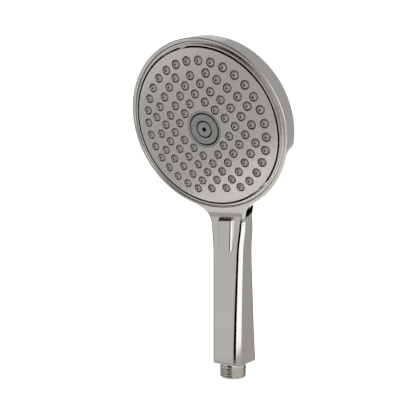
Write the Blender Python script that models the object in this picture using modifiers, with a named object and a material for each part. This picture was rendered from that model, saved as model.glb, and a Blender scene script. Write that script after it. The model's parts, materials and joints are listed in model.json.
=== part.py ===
"""Handheld shower head with a one-button spray selector, built piece by piece.

The handle runs along +Z and the spray face looks towards -Y, leaning down.
The origin is the centre of the open end of the inlet thread.
Units are metres; MM turns the sizes below, written in millimetres, into metres.
"""

import math

import bmesh
import bpy
from mathutils import Matrix, Vector

MM = 0.001
GAP = 0.3 * MM

# --- Spray head ---------------------------------------------------------------
HEAD_TILT = math.radians(25.3)
HEAD_RADIUS = 66.5 * MM
HEAD_TAPER = 1.5 * MM
HEAD_FOOT_FRONT = -12.3 * MM
HEAD_FOOT_RISE = 14.5 * MM
HEAD_CROWN = 1.6 * MM
HEAD_EDGE = 1.6 * MM
SHOULDER_DEPTH = 0.3 * MM
HEAD_WALL = 2.2 * MM
CUP_WALL = 2.9 * MM
BEZEL_LENGTH = 5.5 * MM
BEZEL_LIP_WIDTH = 1.4 * MM
BEZEL_COVE_DEPTH = 0.9 * MM
PLATE_MARGIN = 6.0 * MM
PLATE_SHADOW_GAP = 0.6 * MM
PLATE_THICKNESS = 2.0 * MM
MAT_THICKNESS = 1.6 * MM
MAT_MARGIN = 1.5 * MM

# --- Nozzle pattern -----------------------------------------------------------
NOZZLE_PITCH = 9.55 * MM
NOZZLE_SHELLS = (2, 3)
NOZZLE_BOW_SHELL = 4
NOZZLE_BOW = 1.3 * MM
NOZZLE_RING_RADIUS = 50.9 * MM
NOZZLE_RING_COUNT = 32
NOZZLE_FLAT_ROW = 47.4 * MM
NOZZLE_FLAT_STEP = 13.4 * MM
NOZZLE_HOLE_RADIUS = 3.2 * MM
NOZZLE_BASE_RADIUS = 2.5 * MM
NOZZLE_TIP_RADIUS = 1.6 * MM
NOZZLE_PROUD = 1.4 * MM

# --- Centre jets --------------------------------------------------------------
CENTRE_RADIUS = 12.4 * MM
CENTRE_HOLE_RADIUS = 11.9 * MM
CENTRE_FLANGE = 0.6 * MM
SLIT = 0.3 * MM
OUTER_SLIT_RADIUS = 10.35 * MM
INNER_SLIT_RADIUS = 5.35 * MM
JET_BORE_RADIUS = 1.5 * MM
CENTRE_PROUD = 1.0 * MM

# --- Flow divider and selector ------------------------------------------------
DIVIDER_MARGIN = 1.0 * MM
DIVIDER_THICKNESS = 3.8 * MM
DIVIDER_WEB = 1.6 * MM
DIVIDER_RIM = 2.0 * MM
ZONE_WALL_RADIUS = 46.0 * MM
ZONE_WALL = 1.2 * MM
HUB_RADIUS = 14.0 * MM
SEAL_RADIUS = 10.9 * MM
SEAL_THICKNESS = 1.5 * MM
SEAL_RECESS = 1.2 * MM
PORT_RADIUS = 2.0 * MM
PORT_CIRCLE = 8.4 * MM
PORT_ANGLES = (90.0, 210.0, 330.0)
PORT_FLOOR = 0.8 * MM
CHANNEL_WIDTH = 3.6 * MM
CHANNEL_HEIGHT = 2.0 * MM
DUCT_WALL = 1.5 * MM
DISC_RADIUS = 11.0 * MM
DISC_THICKNESS = 1.3 * MM
DISC_OPENINGS = 4
RATCHET_TIP_RADIUS = 6.8 * MM
RATCHET_ROOT_RADIUS = 5.8 * MM
RATCHET_TEETH = 12
RATCHET_THICKNESS = 2.5 * MM
RATCHET_PIVOT_RADIUS = 2.0 * MM
RATCHET_PIVOT_LENGTH = 2.0 * MM
HOUSING_RADIUS = 20.0 * MM
HOUSING_CAVITY_SPARE = 0.4 * MM
HOUSING_CAVITY_RADIUS = 13.5 * MM
HOUSING_BACK_WALL = 2.6 * MM
FLANGE_RADIUS = 27.0 * MM
FLANGE_THICKNESS = 2.0 * MM
HOUSING_ORING_RADIUS = 17.0 * MM
HOUSING_ORING_WIRE = 0.6 * MM
SCREW_CIRCLE = 23.7 * MM
SCREW_ANGLES = (20.0, 160.0, 225.0)
SCREW_SHANK_RADIUS = 1.3 * MM
SCREW_HEAD_RADIUS = 2.6 * MM
SCREW_HEAD_HEIGHT = 1.6 * MM
SCREW_BITE = 2.6 * MM
BOSS_RADIUS = 3.2 * MM
SPIGOT_HALF_WIDTH = 5.0 * MM
SPIGOT_END = 30.0 * MM
SPIGOT_SOCKET = 9.0 * MM

# --- Selector rod -------------------------------------------------------------
ROD_OFFSET = 8.4 * MM
ROD_WIDTH = 2.4 * MM
ROD_THICKNESS = 2.4 * MM
ROD_TOP = 2.0 * MM
ROD_OVERHANG = 6.5 * MM
ROD_CAM_LENGTH = 5.4 * MM
ROD_FINGER_REACH = 6.2 * MM
ROD_FINGER_HEIGHT = 1.0 * MM
ROD_GUIDE_PLACE = -44.0 * MM
ROD_GUIDE_LENGTH = 8.0 * MM
ROD_GUIDE_WALL = 1.2 * MM

# --- Handle -------------------------------------------------------------------
HANDLE_BOTTOM = 11.6 * MM
HANDLE_NECK = 118.0 * MM
HANDLE_WALL = 2.0 * MM
HANDLE_FRONT_BOTTOM = -12.3 * MM
HANDLE_FRONT_TOP = -9.7 * MM
HANDLE_BACK_BOTTOM = 16.7 * MM
HANDLE_BACK_TOP = 7.8 * MM
HANDLE_HALF_WIDTH = 12.7 * MM
HANDLE_WIDTH_GROWTH = 1.3 * MM
HANDLE_CORNER_BOTTOM = 4.6 * MM
HANDLE_CORNER_TOP = 3.2 * MM
HANDLE_EDGE = 0.6 * MM
FLARE_BELOW_NECK = 13.0 * MM
FLARE_HEIGHT = 33.0 * MM
FLARE_WIDTH = 13.7 * MM
FLARE_POWER = 4.6
HOLLOW_BOTTOM = 26.0 * MM

# --- Inlet --------------------------------------------------------------------
THREAD_RADIUS = 10.4775 * MM
THREAD_PITCH = 1.814 * MM
THREAD_DEPTH = 1.16 * MM
THREAD_TURNS = 5
THREAD_CHAMFER = 0.8 * MM
NIPPLE_BORE_RADIUS = 6.6 * MM
NIPPLE_SHANK_RADIUS = 9.0 * MM
NIPPLE_SHANK_TOP = 24.0 * MM
NIPPLE_BORE_TOP = 21.2 * MM
NIPPLE_TOP = 34.0 * MM
NIPPLE_SPIGOT_RADIUS = 6.3 * MM
NIPPLE_ORING_HEIGHT = 17.6 * MM
NIPPLE_ORING_WIRE = 0.45 * MM
NIPPLE_GROOVE = 1.15 * MM
INSERT_CLEARANCE = 0.3 * MM
SCREEN_HEIGHT = 6.3 * MM
SCREEN_THICKNESS = 0.8 * MM
SCREEN_HOLE_RADIUS = 1.1 * MM
REGULATOR_THICKNESS = 3.0 * MM
REGULATOR_BORE_RADIUS = 2.5 * MM
CAGE_HEIGHT = 9.8 * MM
CAGE_WALL = 1.2 * MM
CAGE_SEAT = 1.5 * MM
CAGE_SEAT_RADIUS = 3.6 * MM
CAGE_TOP = 1.3 * MM
POPPET_RADIUS = 4.5 * MM
POPPET_THICKNESS = 1.8 * MM
POPPET_STEM_RADIUS = 1.2 * MM
POPPET_STROKE = 2.0 * MM
SPRING_COIL_RADIUS = 2.6 * MM
SPRING_WIRE = 0.35 * MM
SPRING_TURNS = 4

# --- Water tube ---------------------------------------------------------------
TUBE_RADIUS = 3.0 * MM
TUBE_WALL = 0.8 * MM
TUBE_ORING_WIRE = 0.45 * MM

# --- Mode button --------------------------------------------------------------
BUTTON_BOTTOM = HANDLE_NECK - 17.0 * MM
BUTTON_TOP = HANDLE_NECK + 6.3 * MM
BUTTON_HALF_BOTTOM = 5.3 * MM
BUTTON_HALF_TOP = 7.0 * MM
BUTTON_FRONT_TOP = -13.7 * MM
BUTTON_FRONT_BOTTOM = -12.6 * MM
BUTTON_RAMP_HEIGHT = 3.4 * MM
BUTTON_ARCH = 1.2 * MM
BUTTON_EDGE = 0.5 * MM
BUTTON_INNER = -7.0 * MM
BUTTON_FLANGE = 1.2 * MM
BUTTON_FLANGE_HALF = 8.7 * MM
BUTTON_FLANGE_TOP = BUTTON_TOP + 4.7 * MM
BUTTON_ARM_WIDTH = 2.0 * MM
BUTTON_ARM_FOOT = BUTTON_TOP - 2.3 * MM
HINGE_Y = -5.4 * MM
HINGE_Z = BUTTON_BOTTOM - 3.4 * MM
HINGE_BARREL_RADIUS = 1.9 * MM
PIN_RADIUS = 0.9 * MM
PIN_SOCKET = 0.9 * MM
HINGE_SPRING_WIRE = 0.3 * MM
HINGE_SPRING_TURNS = 5
HINGE_SPRING_SPAN = 3.2 * MM

# --- Facets -------------------------------------------------------------------
LARGE_STEPS = 48
MEDIUM_STEPS = 24
SMALL_STEPS = 16
CORNER_STEPS = 3

# Radii of the head, each from its rim.
HEAD_BACK_RADIUS = HEAD_RADIUS - HEAD_TAPER
CUP_RADIUS = HEAD_RADIUS - CUP_WALL
PLATE_RADIUS = HEAD_RADIUS - PLATE_MARGIN
DIVIDER_RADIUS = PLATE_RADIUS - DIVIDER_MARGIN
ROD_BOTTOM = -(HEAD_RADIUS + ROD_OVERHANG)
FLARE_START = HANDLE_NECK - FLARE_BELOW_NECK
HEAD_CENTRE = Vector((
    0.0,
    HEAD_FOOT_FRONT - HEAD_RADIUS * math.sin(HEAD_TILT),
    HANDLE_NECK + HEAD_FOOT_RISE + HEAD_RADIUS * math.cos(HEAD_TILT),
))

# Depths behind the spray face, each from the pieces in front of it.
MAT_DEPTH = PLATE_THICKNESS + GAP
DIVIDER_DEPTH = MAT_DEPTH + MAT_THICKNESS + GAP
DIVIDER_BACK = DIVIDER_DEPTH + DIVIDER_THICKNESS
HOUSING_DEPTH = DIVIDER_BACK + GAP
SEAL_DEPTH = DIVIDER_BACK - SEAL_RECESS + GAP
DISC_DEPTH = SEAL_DEPTH + SEAL_THICKNESS + GAP
RATCHET_DEPTH = DISC_DEPTH + DISC_THICKNESS
ROD_DEPTH = RATCHET_DEPTH + GAP
HOUSING_CAVITY_DEPTH = ROD_DEPTH + ROD_THICKNESS + HOUSING_CAVITY_SPARE
HOUSING_BACK_DEPTH = HOUSING_CAVITY_DEPTH + HOUSING_BACK_WALL
HEAD_DEPTH = HOUSING_BACK_DEPTH + GAP + HEAD_WALL
THREAD_LENGTH = HANDLE_BOTTOM - GAP
TUBE_DEPTH = (HOUSING_DEPTH + HOUSING_BACK_DEPTH) / 2
SOCKET_RADIUS = TUBE_RADIUS + GAP
INSERT_RADIUS = NIPPLE_BORE_RADIUS - INSERT_CLEARANCE
REGULATOR_HEIGHT = SCREEN_HEIGHT + SCREEN_THICKNESS + GAP
CAGE_BOTTOM = REGULATOR_HEIGHT + REGULATOR_THICKNESS + GAP


# --- Scene helpers ------------------------------------------------------------
def clear_scene():
    """Remove every object that the file starts with."""
    for obj in list(bpy.data.objects):
        bpy.data.objects.remove(obj)


def new_collection(name):
    """Make a collection in the scene."""
    collection = bpy.data.collections.new(name)
    bpy.context.scene.collection.children.link(collection)
    return collection


def material(name, colour, roughness, metallic):
    """Make a Principled BSDF material from a linear colour."""
    made = bpy.data.materials.new(name)
    made.use_nodes = True
    shader = made.node_tree.nodes["Principled BSDF"]
    shader.inputs["Base Color"].default_value = (*colour, 1.0)
    shader.inputs["Roughness"].default_value = roughness
    shader.inputs["Metallic"].default_value = metallic
    return made


def add_object(name, data, parent=None, finish=None, helper=False):
    """Link a new object to the parts, or to the cutters when it is a helper."""
    obj = bpy.data.objects.new(name, data)
    (CUTTERS if helper else PARTS).objects.link(obj)
    obj.parent = parent
    if finish is not None:
        obj.data.materials.append(finish)
    if helper:
        obj.hide_render = True
        obj.display_type = "WIRE"
    return obj


def smooth(obj, angle=35.0):
    """Shade round faces smooth and keep the real edges sharp."""
    obj.data.shade_smooth()
    obj.data.set_sharp_from_angle(angle=math.radians(angle))


def turned(name, profile, steps, parent=None, finish=None, helper=False):
    """Turn a profile of (radius, height) about the local Z axis."""
    mesh = bpy.data.meshes.new(name)
    points = [(radius, 0.0, height) for radius, height in profile]
    count = len(points)
    open_profile = profile[0][0] == 0.0
    edges = [(i, (i + 1) % count) for i in range(count - 1 if open_profile else count)]
    mesh.from_pydata(points, edges, [])
    obj = add_object(name, mesh, parent, finish, helper)
    screw = obj.modifiers.new("Turn", "SCREW")
    screw.axis = "Z"
    screw.steps = steps
    screw.render_steps = steps
    screw.use_merge_vertices = True
    screw.merge_threshold = 0.00001
    screw.use_smooth_shade = True
    return obj


def ring_profile(outer, inner, top, bottom):
    """Give the closed section of a plain ring."""
    return [(outer, top), (outer, bottom), (inner, bottom), (inner, top)]


def torus(name, major, wire, height, parent, finish):
    """Make an O-ring, a circle of round section about the local Z axis."""
    sides = 8
    section = []
    for i in range(sides):
        turn = -2 * math.pi * i / sides
        section.append((major + wire * math.cos(turn), height + wire * math.sin(turn)))
    return turned(name, section, MEDIUM_STEPS, parent, finish)


def prism(name, outlines, low, high, parent=None, finish=None, helper=False):
    """Fill flat outlines, the first with the others as holes, from low to high Z."""
    curve = bpy.data.curves.new(name, "CURVE")
    curve.dimensions = "2D"
    curve.fill_mode = "BOTH"
    curve.extrude = (high - low) / 2
    for outline in outlines:
        spline = curve.splines.new("POLY")
        spline.points.add(len(outline) - 1)
        for point, (x, y) in zip(spline.points, outline):
            point.co = (x, y, 0.0, 1.0)
        spline.use_cyclic_u = True
    guide = bpy.data.objects.new(name, curve)
    CUTTERS.objects.link(guide)
    bpy.context.view_layer.update()
    graph = bpy.context.evaluated_depsgraph_get()
    mesh = bpy.data.meshes.new_from_object(guide.evaluated_get(graph))
    bpy.data.objects.remove(guide)
    mesh.transform(Matrix.Translation((0.0, 0.0, (low + high) / 2)))
    weld(mesh)
    mesh.name = name
    return add_object(name, mesh, parent, finish, helper)


def weld(mesh):
    """Join the loose caps of a converted curve to its sides."""
    shape = bmesh.new()
    shape.from_mesh(mesh)
    bmesh.ops.remove_doubles(shape, verts=shape.verts, dist=0.000001)
    bmesh.ops.recalc_face_normals(shape, faces=shape.faces)
    shape.to_mesh(mesh)
    shape.free()


def circle_outline(radius, sides, x=0.0, y=0.0, start=0.0):
    """Give the corners of a regular outline."""
    corners = []
    for i in range(sides):
        turn = start + 2 * math.pi * i / sides
        corners.append((x + radius * math.cos(turn), y + radius * math.sin(turn)))
    return corners


def box(name, low, high, parent=None, finish=None, helper=False):
    """Make a box between two corners."""
    shape = bmesh.new()
    bmesh.ops.create_cube(shape, size=1.0)
    low, high = Vector(low), Vector(high)
    size = high - low
    bmesh.ops.scale(shape, vec=size, verts=shape.verts)
    bmesh.ops.translate(shape, vec=(low + high) / 2, verts=shape.verts)
    mesh = bpy.data.meshes.new(name)
    shape.to_mesh(mesh)
    shape.free()
    return add_object(name, mesh, parent, finish, helper)


def add_cone(shape, start, end, radius_start, radius_end, sides):
    """Add a capped cone or cylinder between two points to a bmesh."""
    start, end = Vector(start), Vector(end)
    along = end - start
    turn = along.to_track_quat("Z", "Y").to_matrix().to_4x4()
    place = Matrix.Translation((start + end) / 2) @ turn
    bmesh.ops.create_cone(
        shape, cap_ends=True, segments=sides, radius1=radius_start,
        radius2=radius_end, depth=along.length, matrix=place,
    )


def rods(name, runs, sides, parent=None, finish=None, helper=False):
    """Make cylinders, each from (start, end, radius), in one object."""
    shape = bmesh.new()
    for start, end, radius in runs:
        add_cone(shape, start, end, radius, radius, sides)
    mesh = bpy.data.meshes.new(name)
    shape.to_mesh(mesh)
    shape.free()
    return add_object(name, mesh, parent, finish, helper)


def boolean(obj, other, operation="DIFFERENCE"):
    """Cut or join one object with another."""
    modifier = obj.modifiers.new(operation.title(), "BOOLEAN")
    modifier.operation = operation
    modifier.solver = "EXACT"
    modifier.object = other


def bevel(obj, width, segments=1, angle=30.0):
    """Round the sharp edges of an object."""
    modifier = obj.modifiers.new("Bevel", "BEVEL")
    modifier.width = width
    modifier.segments = segments
    modifier.limit_method = "ANGLE"
    modifier.angle_limit = math.radians(angle)


def wire_coil(name, points, wire, parent, finish):
    """Sweep a round wire along points, with closed ends."""
    curve = bpy.data.curves.new(name, "CURVE")
    curve.dimensions = "3D"
    curve.bevel_depth = wire
    curve.bevel_resolution = 2
    curve.use_fill_caps = True
    spline = curve.splines.new("POLY")
    spline.points.add(len(points) - 1)
    for point, place in zip(spline.points, points):
        point.co = (*place, 1.0)
    return add_object(name, curve, parent, finish)


# --- Head frame ---------------------------------------------------------------
def head_point(across, up, depth):
    """Give the world place of a point in the head: across X, up the face, deep."""
    forward = Vector((0.0, -math.cos(HEAD_TILT), -math.sin(HEAD_TILT)))
    upward = Vector((0.0, -math.sin(HEAD_TILT), math.cos(HEAD_TILT)))
    return HEAD_CENTRE + Vector((across, 0.0, 0.0)) + upward * up - forward * depth


def head_frame():
    """Make the empty whose Z axis points out of the spray face."""
    frame = bpy.data.objects.new("head_frame", None)
    PARTS.objects.link(frame)
    frame.location = HEAD_CENTRE
    frame.rotation_euler = (math.pi / 2 + HEAD_TILT, 0.0, 0.0)
    bpy.context.view_layer.update()
    return frame


def behind(profile):
    """Turn (radius, depth) pairs into (radius, height) under the spray face."""
    return [(radius, -depth) for radius, depth in profile]


def nozzle_places():
    """List the nozzle centres on the spray face."""
    places = []
    for shell in NOZZLE_SHELLS:
        for k in range(-shell, shell):
            for row, step in ((shell, k), (-shell, -k)):
                places.append(lattice(row, step))
                places.append(lattice(-step, row))
    for k in range(-2, 3):
        bow = NOZZLE_BOW * (1 - (k / 2) ** 4) / NOZZLE_PITCH
        far = NOZZLE_BOW_SHELL + bow
        places += [lattice(far, k), lattice(-far, k), lattice(k, far), lattice(k, -far)]
    bottom = 3 * NOZZLE_RING_COUNT // 4
    for i in range(NOZZLE_RING_COUNT):
        if abs(i - bottom) > 1:
            turn = 2 * math.pi * i / NOZZLE_RING_COUNT
            places.append((NOZZLE_RING_RADIUS * math.cos(turn), NOZZLE_RING_RADIUS * math.sin(turn)))
    places.append((-NOZZLE_FLAT_STEP / 2, -NOZZLE_FLAT_ROW))
    places.append((NOZZLE_FLAT_STEP / 2, -NOZZLE_FLAT_ROW))
    return places


def lattice(row, step):
    """Give a place on the square lattice, which stands on its corner."""
    half = NOZZLE_PITCH * math.sqrt(0.5)
    return ((row + step) * half, (row - step) * half)


# --- Handle and body ----------------------------------------------------------
def half_width(height):
    """Give half the handle's width at a height, with the flare into the head."""
    share = (height - HANDLE_BOTTOM) / (HANDLE_NECK - HANDLE_BOTTOM)
    straight = HANDLE_HALF_WIDTH + HANDLE_WIDTH_GROWTH * share**2
    rise = max(0.0, height - FLARE_START) / FLARE_HEIGHT
    return straight + FLARE_WIDTH * rise**FLARE_POWER


def handle_station(height):
    """Give (front point, back point, half width, corner) of the straight handle."""
    share = (height - HANDLE_BOTTOM) / (HANDLE_NECK - HANDLE_BOTTOM)
    front = HANDLE_FRONT_BOTTOM + (HANDLE_FRONT_TOP - HANDLE_FRONT_BOTTOM) * max(share, 0.0) ** 1.5
    back = HANDLE_BACK_BOTTOM + (HANDLE_BACK_TOP - HANDLE_BACK_BOTTOM) * share
    corner = HANDLE_CORNER_BOTTOM + (HANDLE_CORNER_TOP - HANDLE_CORNER_BOTTOM) * share
    return ((front, height), (back, height), half_width(height), corner)


def head_station(front_up, back_up, back_depth, width):
    """Give a station whose ends lie in the head's own frame."""
    front = head_point(0.0, front_up, SHOULDER_DEPTH + 0.1 * MM)
    back = head_point(0.0, back_up, back_depth)
    return ((front.y, front.z), (back.y, back.z), width, HANDLE_CORNER_TOP)


def blend_station(low, high, share, width):
    """Mix two stations, for the bend between the handle and the head."""
    front = tuple(a + (b - a) * share for a, b in zip(low[0], high[0]))
    back = tuple(a + (b - a) * share for a, b in zip(low[1], high[1]))
    return (front, back, width, HANDLE_CORNER_TOP)


def body_stations(bottom):
    """List the stations from a height near the inlet up into the head."""
    steps = 6
    levels = [bottom + (HANDLE_NECK - bottom) * i / steps for i in range(steps + 1)]
    stations = [handle_station(level) for level in levels]
    neck = stations[-1]
    root = head_station(
        -(HEAD_RADIUS - 2.0 * MM), -(HEAD_BACK_RADIUS - 1.0 * MM), HEAD_DEPTH - 1.4 * MM, 0.0
    )
    root = (root[0], root[1], half_width(root[0][1]), HANDLE_CORNER_TOP)
    for share in (0.38, 0.72):
        middle = blend_station(neck, root, share, 0.0)
        stations.append((middle[0], middle[1], half_width(middle[0][1]), HANDLE_CORNER_TOP))
    stations.append(root)
    end_up = -(HEAD_RADIUS - 8.5 * MM)
    chord = math.sqrt(HEAD_RADIUS**2 - end_up**2) - 1.5 * MM
    stations.append(head_station(end_up, end_up + 2.0 * MM, HEAD_DEPTH - 0.4 * MM, chord))
    return stations


def loft(name, stations, inset, finish=None, helper=False):
    """Skin rounded rectangles through the stations, moved inwards by the inset."""
    shape = bmesh.new()
    loops = []
    for front, back, width, corner in stations:
        front, back = Vector(front), Vector(back)
        along = (back - front).normalized()
        depth = (back - front).length / 2 - inset
        middle = (front + back) / 2
        side = width - inset
        radius = max(corner - inset, 0.8 * MM)
        loop = []
        for quarter in range(4):
            centre_x = (side - radius) * (1 if quarter in (0, 3) else -1)
            centre_y = (depth - radius) * (1 if quarter in (0, 1) else -1)
            for i in range(CORNER_STEPS + 1):
                turn = math.pi / 2 * (quarter + i / CORNER_STEPS)
                x = centre_x + radius * math.cos(turn)
                y = centre_y + radius * math.sin(turn)
                point = middle + along * y
                loop.append(shape.verts.new((x, point.x, point.y)))
        loops.append(loop)
    count = len(loops[0])
    for lower, upper in zip(loops, loops[1:]):
        for i in range(count):
            j = (i + 1) % count
            shape.faces.new((lower[i], lower[j], upper[j], upper[i]))
    shape.faces.new(list(reversed(loops[0])))
    shape.faces.new(loops[-1])
    mesh = bpy.data.meshes.new(name)
    shape.to_mesh(mesh)
    shape.free()
    return add_object(name, mesh, None, finish, helper)


def head_drum(head):
    """Make the solid disc of the head, before it is hollowed."""
    edge = HEAD_EDGE
    profile = behind([
        (0.0, SHOULDER_DEPTH),
        (HEAD_RADIUS - edge, SHOULDER_DEPTH),
        (HEAD_RADIUS - edge * 0.3, SHOULDER_DEPTH + edge * 0.3),
        (HEAD_RADIUS, SHOULDER_DEPTH + edge),
        (HEAD_BACK_RADIUS, HEAD_DEPTH - edge),
        (HEAD_BACK_RADIUS - edge * 0.3, HEAD_DEPTH - edge * 0.3),
        (HEAD_BACK_RADIUS - edge, HEAD_DEPTH),
        (HEAD_BACK_RADIUS * 0.6, HEAD_DEPTH + HEAD_CROWN * 0.7),
        (0.0, HEAD_DEPTH + HEAD_CROWN),
    ])
    return turned("head_drum", profile, LARGE_STEPS, head, helper=True)


def head_cup(head):
    """Make the space inside the head."""
    back = HEAD_DEPTH - HEAD_WALL
    inner = HEAD_BACK_RADIUS - HEAD_WALL
    profile = behind([
        (0.0, -1.0 * MM),
        (CUP_RADIUS, -1.0 * MM),
        (CUP_RADIUS, BEZEL_LENGTH + 1.0 * MM),
        (inner - 0.3 * MM, back - 1.0 * MM),
        (inner - 1.3 * MM, back),
        (HEAD_BACK_RADIUS * 0.6, back + HEAD_CROWN * 0.7),
        (0.0, back + HEAD_CROWN),
    ])
    return turned("head_cup", profile, LARGE_STEPS, head, helper=True)


def button_outline(spare):
    """Give the button's outline, X against Z, grown by a clearance."""
    top = BUTTON_TOP + BUTTON_RAMP_HEIGHT - BUTTON_ARCH
    low = BUTTON_HALF_BOTTOM + spare
    high = BUTTON_HALF_TOP + spare
    outline = [(-low, BUTTON_BOTTOM - spare), (low, BUTTON_BOTTOM - spare)]
    arch_steps = 6
    for i in range(arch_steps + 1):
        turn = math.pi * i / arch_steps
        outline.append((high * math.cos(turn), top + spare + BUTTON_ARCH * math.sin(turn)))
    return outline


def upright_prism(name, outline, front, back, finish=None, helper=False):
    """Extrude an X-Z outline along Y, between the front and back planes."""
    obj = prism(name, [outline], -back, -front, None, finish, helper)
    obj.data.transform(Matrix.Rotation(math.pi / 2, 4, "X"))
    return obj


def body_shell(head, finish):
    """Make the moulding of head cup, neck and handle in one."""
    stations = body_stations(HANDLE_BOTTOM + HANDLE_EDGE)
    front, back, width, corner = handle_station(HANDLE_BOTTOM)
    foot = (
        (front[0] + HANDLE_EDGE, HANDLE_BOTTOM),
        (back[0] - HANDLE_EDGE, HANDLE_BOTTOM),
        width - HANDLE_EDGE,
        corner - HANDLE_EDGE,
    )
    obj = loft("body_shell", [foot] + stations, 0.0, finish)
    boolean(obj, head_drum(head), "UNION")
    boolean(obj, loft("handle_hollow", body_stations(HOLLOW_BOTTOM), HANDLE_WALL, helper=True))
    boolean(obj, head_cup(head))
    window = upright_prism(
        "button_window", button_outline(GAP), BUTTON_FRONT_TOP - 2.0 * MM, BUTTON_INNER, helper=True
    )
    boolean(obj, window)
    bore = rods(
        "nipple_bore",
        [((0, 0, HANDLE_BOTTOM - 1.0 * MM), (0, 0, HOLLOW_BOTTOM + 1.0 * MM), NIPPLE_SHANK_RADIUS + GAP)],
        MEDIUM_STEPS, helper=True,
    )
    boolean(obj, bore)
    reach = half_width(HINGE_Z) - HANDLE_WALL + PIN_SOCKET
    pin_bore = rods(
        "pin_bore", [((-reach, HINGE_Y, HINGE_Z), (reach, HINGE_Y, HINGE_Z), PIN_RADIUS + GAP)],
        SMALL_STEPS, helper=True,
    )
    boolean(obj, pin_bore)
    smooth(obj)
    return obj


# --- Spray face ---------------------------------------------------------------
def bezel_ring(head, finish):
    """Make the trim ring: a lip beside the plate and a cove outside it."""
    inner = PLATE_RADIUS + PLATE_SHADOW_GAP
    outer = CUP_RADIUS - GAP
    lip = inner + BEZEL_LIP_WIDTH
    profile = behind([
        (inner + 0.3 * MM, 0.0),
        (lip - 0.2 * MM, 0.0),
        (lip, 0.2 * MM),
        (lip + 0.3 * MM, BEZEL_COVE_DEPTH),
        (outer, BEZEL_COVE_DEPTH),
        (outer, BEZEL_LENGTH),
        (inner, BEZEL_LENGTH),
        (inner, 0.3 * MM),
    ])
    return turned("bezel_ring", profile, LARGE_STEPS, head, finish)


def spray_plate(head, finish):
    """Make the face plate with a hole for each nozzle."""
    outlines = [
        circle_outline(PLATE_RADIUS, LARGE_STEPS),
        circle_outline(CENTRE_HOLE_RADIUS, MEDIUM_STEPS),
    ]
    for x, y in nozzle_places():
        outlines.append(circle_outline(NOZZLE_HOLE_RADIUS, 8, x, y, math.pi / 8))
    return prism("spray_plate", outlines, -PLATE_THICKNESS, 0.0, head, finish)


def nozzle_mat(head, finish):
    """Make the soft mat with its nozzles, which stand through the plate."""
    outlines = [
        circle_outline(PLATE_RADIUS - MAT_MARGIN, LARGE_STEPS),
        circle_outline(CENTRE_HOLE_RADIUS, MEDIUM_STEPS),
    ]
    low = -(MAT_DEPTH + MAT_THICKNESS)
    obj = prism("nozzle_mat", outlines, low, -MAT_DEPTH, head, finish)
    tips = bmesh.new()
    for x, y in nozzle_places():
        start = (x, y, -MAT_DEPTH - MAT_THICKNESS / 2)
        end = (x, y, NOZZLE_PROUD)
        add_cone(tips, start, end, NOZZLE_BASE_RADIUS, NOZZLE_TIP_RADIUS, 6)
    mesh = bpy.data.meshes.new("nozzle_tips")
    tips.to_mesh(mesh)
    tips.free()
    boolean(obj, add_object("nozzle_tips", mesh, head, helper=True), "UNION")
    return obj


def centre_collar(head, finish):
    """Make the outer ring of the centre jets, whose flange holds the plate."""
    sleeve = CENTRE_HOLE_RADIUS - GAP
    inner = OUTER_SLIT_RADIUS + SLIT / 2
    bottom = DIVIDER_DEPTH - GAP
    profile = behind([
        (CENTRE_RADIUS - 0.2 * MM, -GAP - CENTRE_FLANGE),
        (CENTRE_RADIUS, -GAP - CENTRE_FLANGE + 0.2 * MM),
        (CENTRE_RADIUS, -GAP),
        (sleeve, -GAP),
        (sleeve, bottom),
        (inner, bottom),
        (inner, -GAP - CENTRE_FLANGE),
    ])
    return turned("centre_collar", profile, MEDIUM_STEPS, head, finish)


def centre_disc(head, finish):
    """Make the middle ring of the centre jets."""
    profile = ring_profile(
        OUTER_SLIT_RADIUS - SLIT / 2, INNER_SLIT_RADIUS + SLIT / 2, CENTRE_PROUD, GAP - DIVIDER_DEPTH
    )
    return turned("centre_disc", profile, MEDIUM_STEPS, head, finish)


def centre_jet(head, finish):
    """Make the centre button of the jets, with its bore."""
    top = CENTRE_PROUD + 0.2 * MM
    profile = ring_profile(INNER_SLIT_RADIUS - SLIT / 2, JET_BORE_RADIUS, top, GAP - DIVIDER_DEPTH)
    return turned("centre_jet", profile, MEDIUM_STEPS, head, finish)


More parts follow.
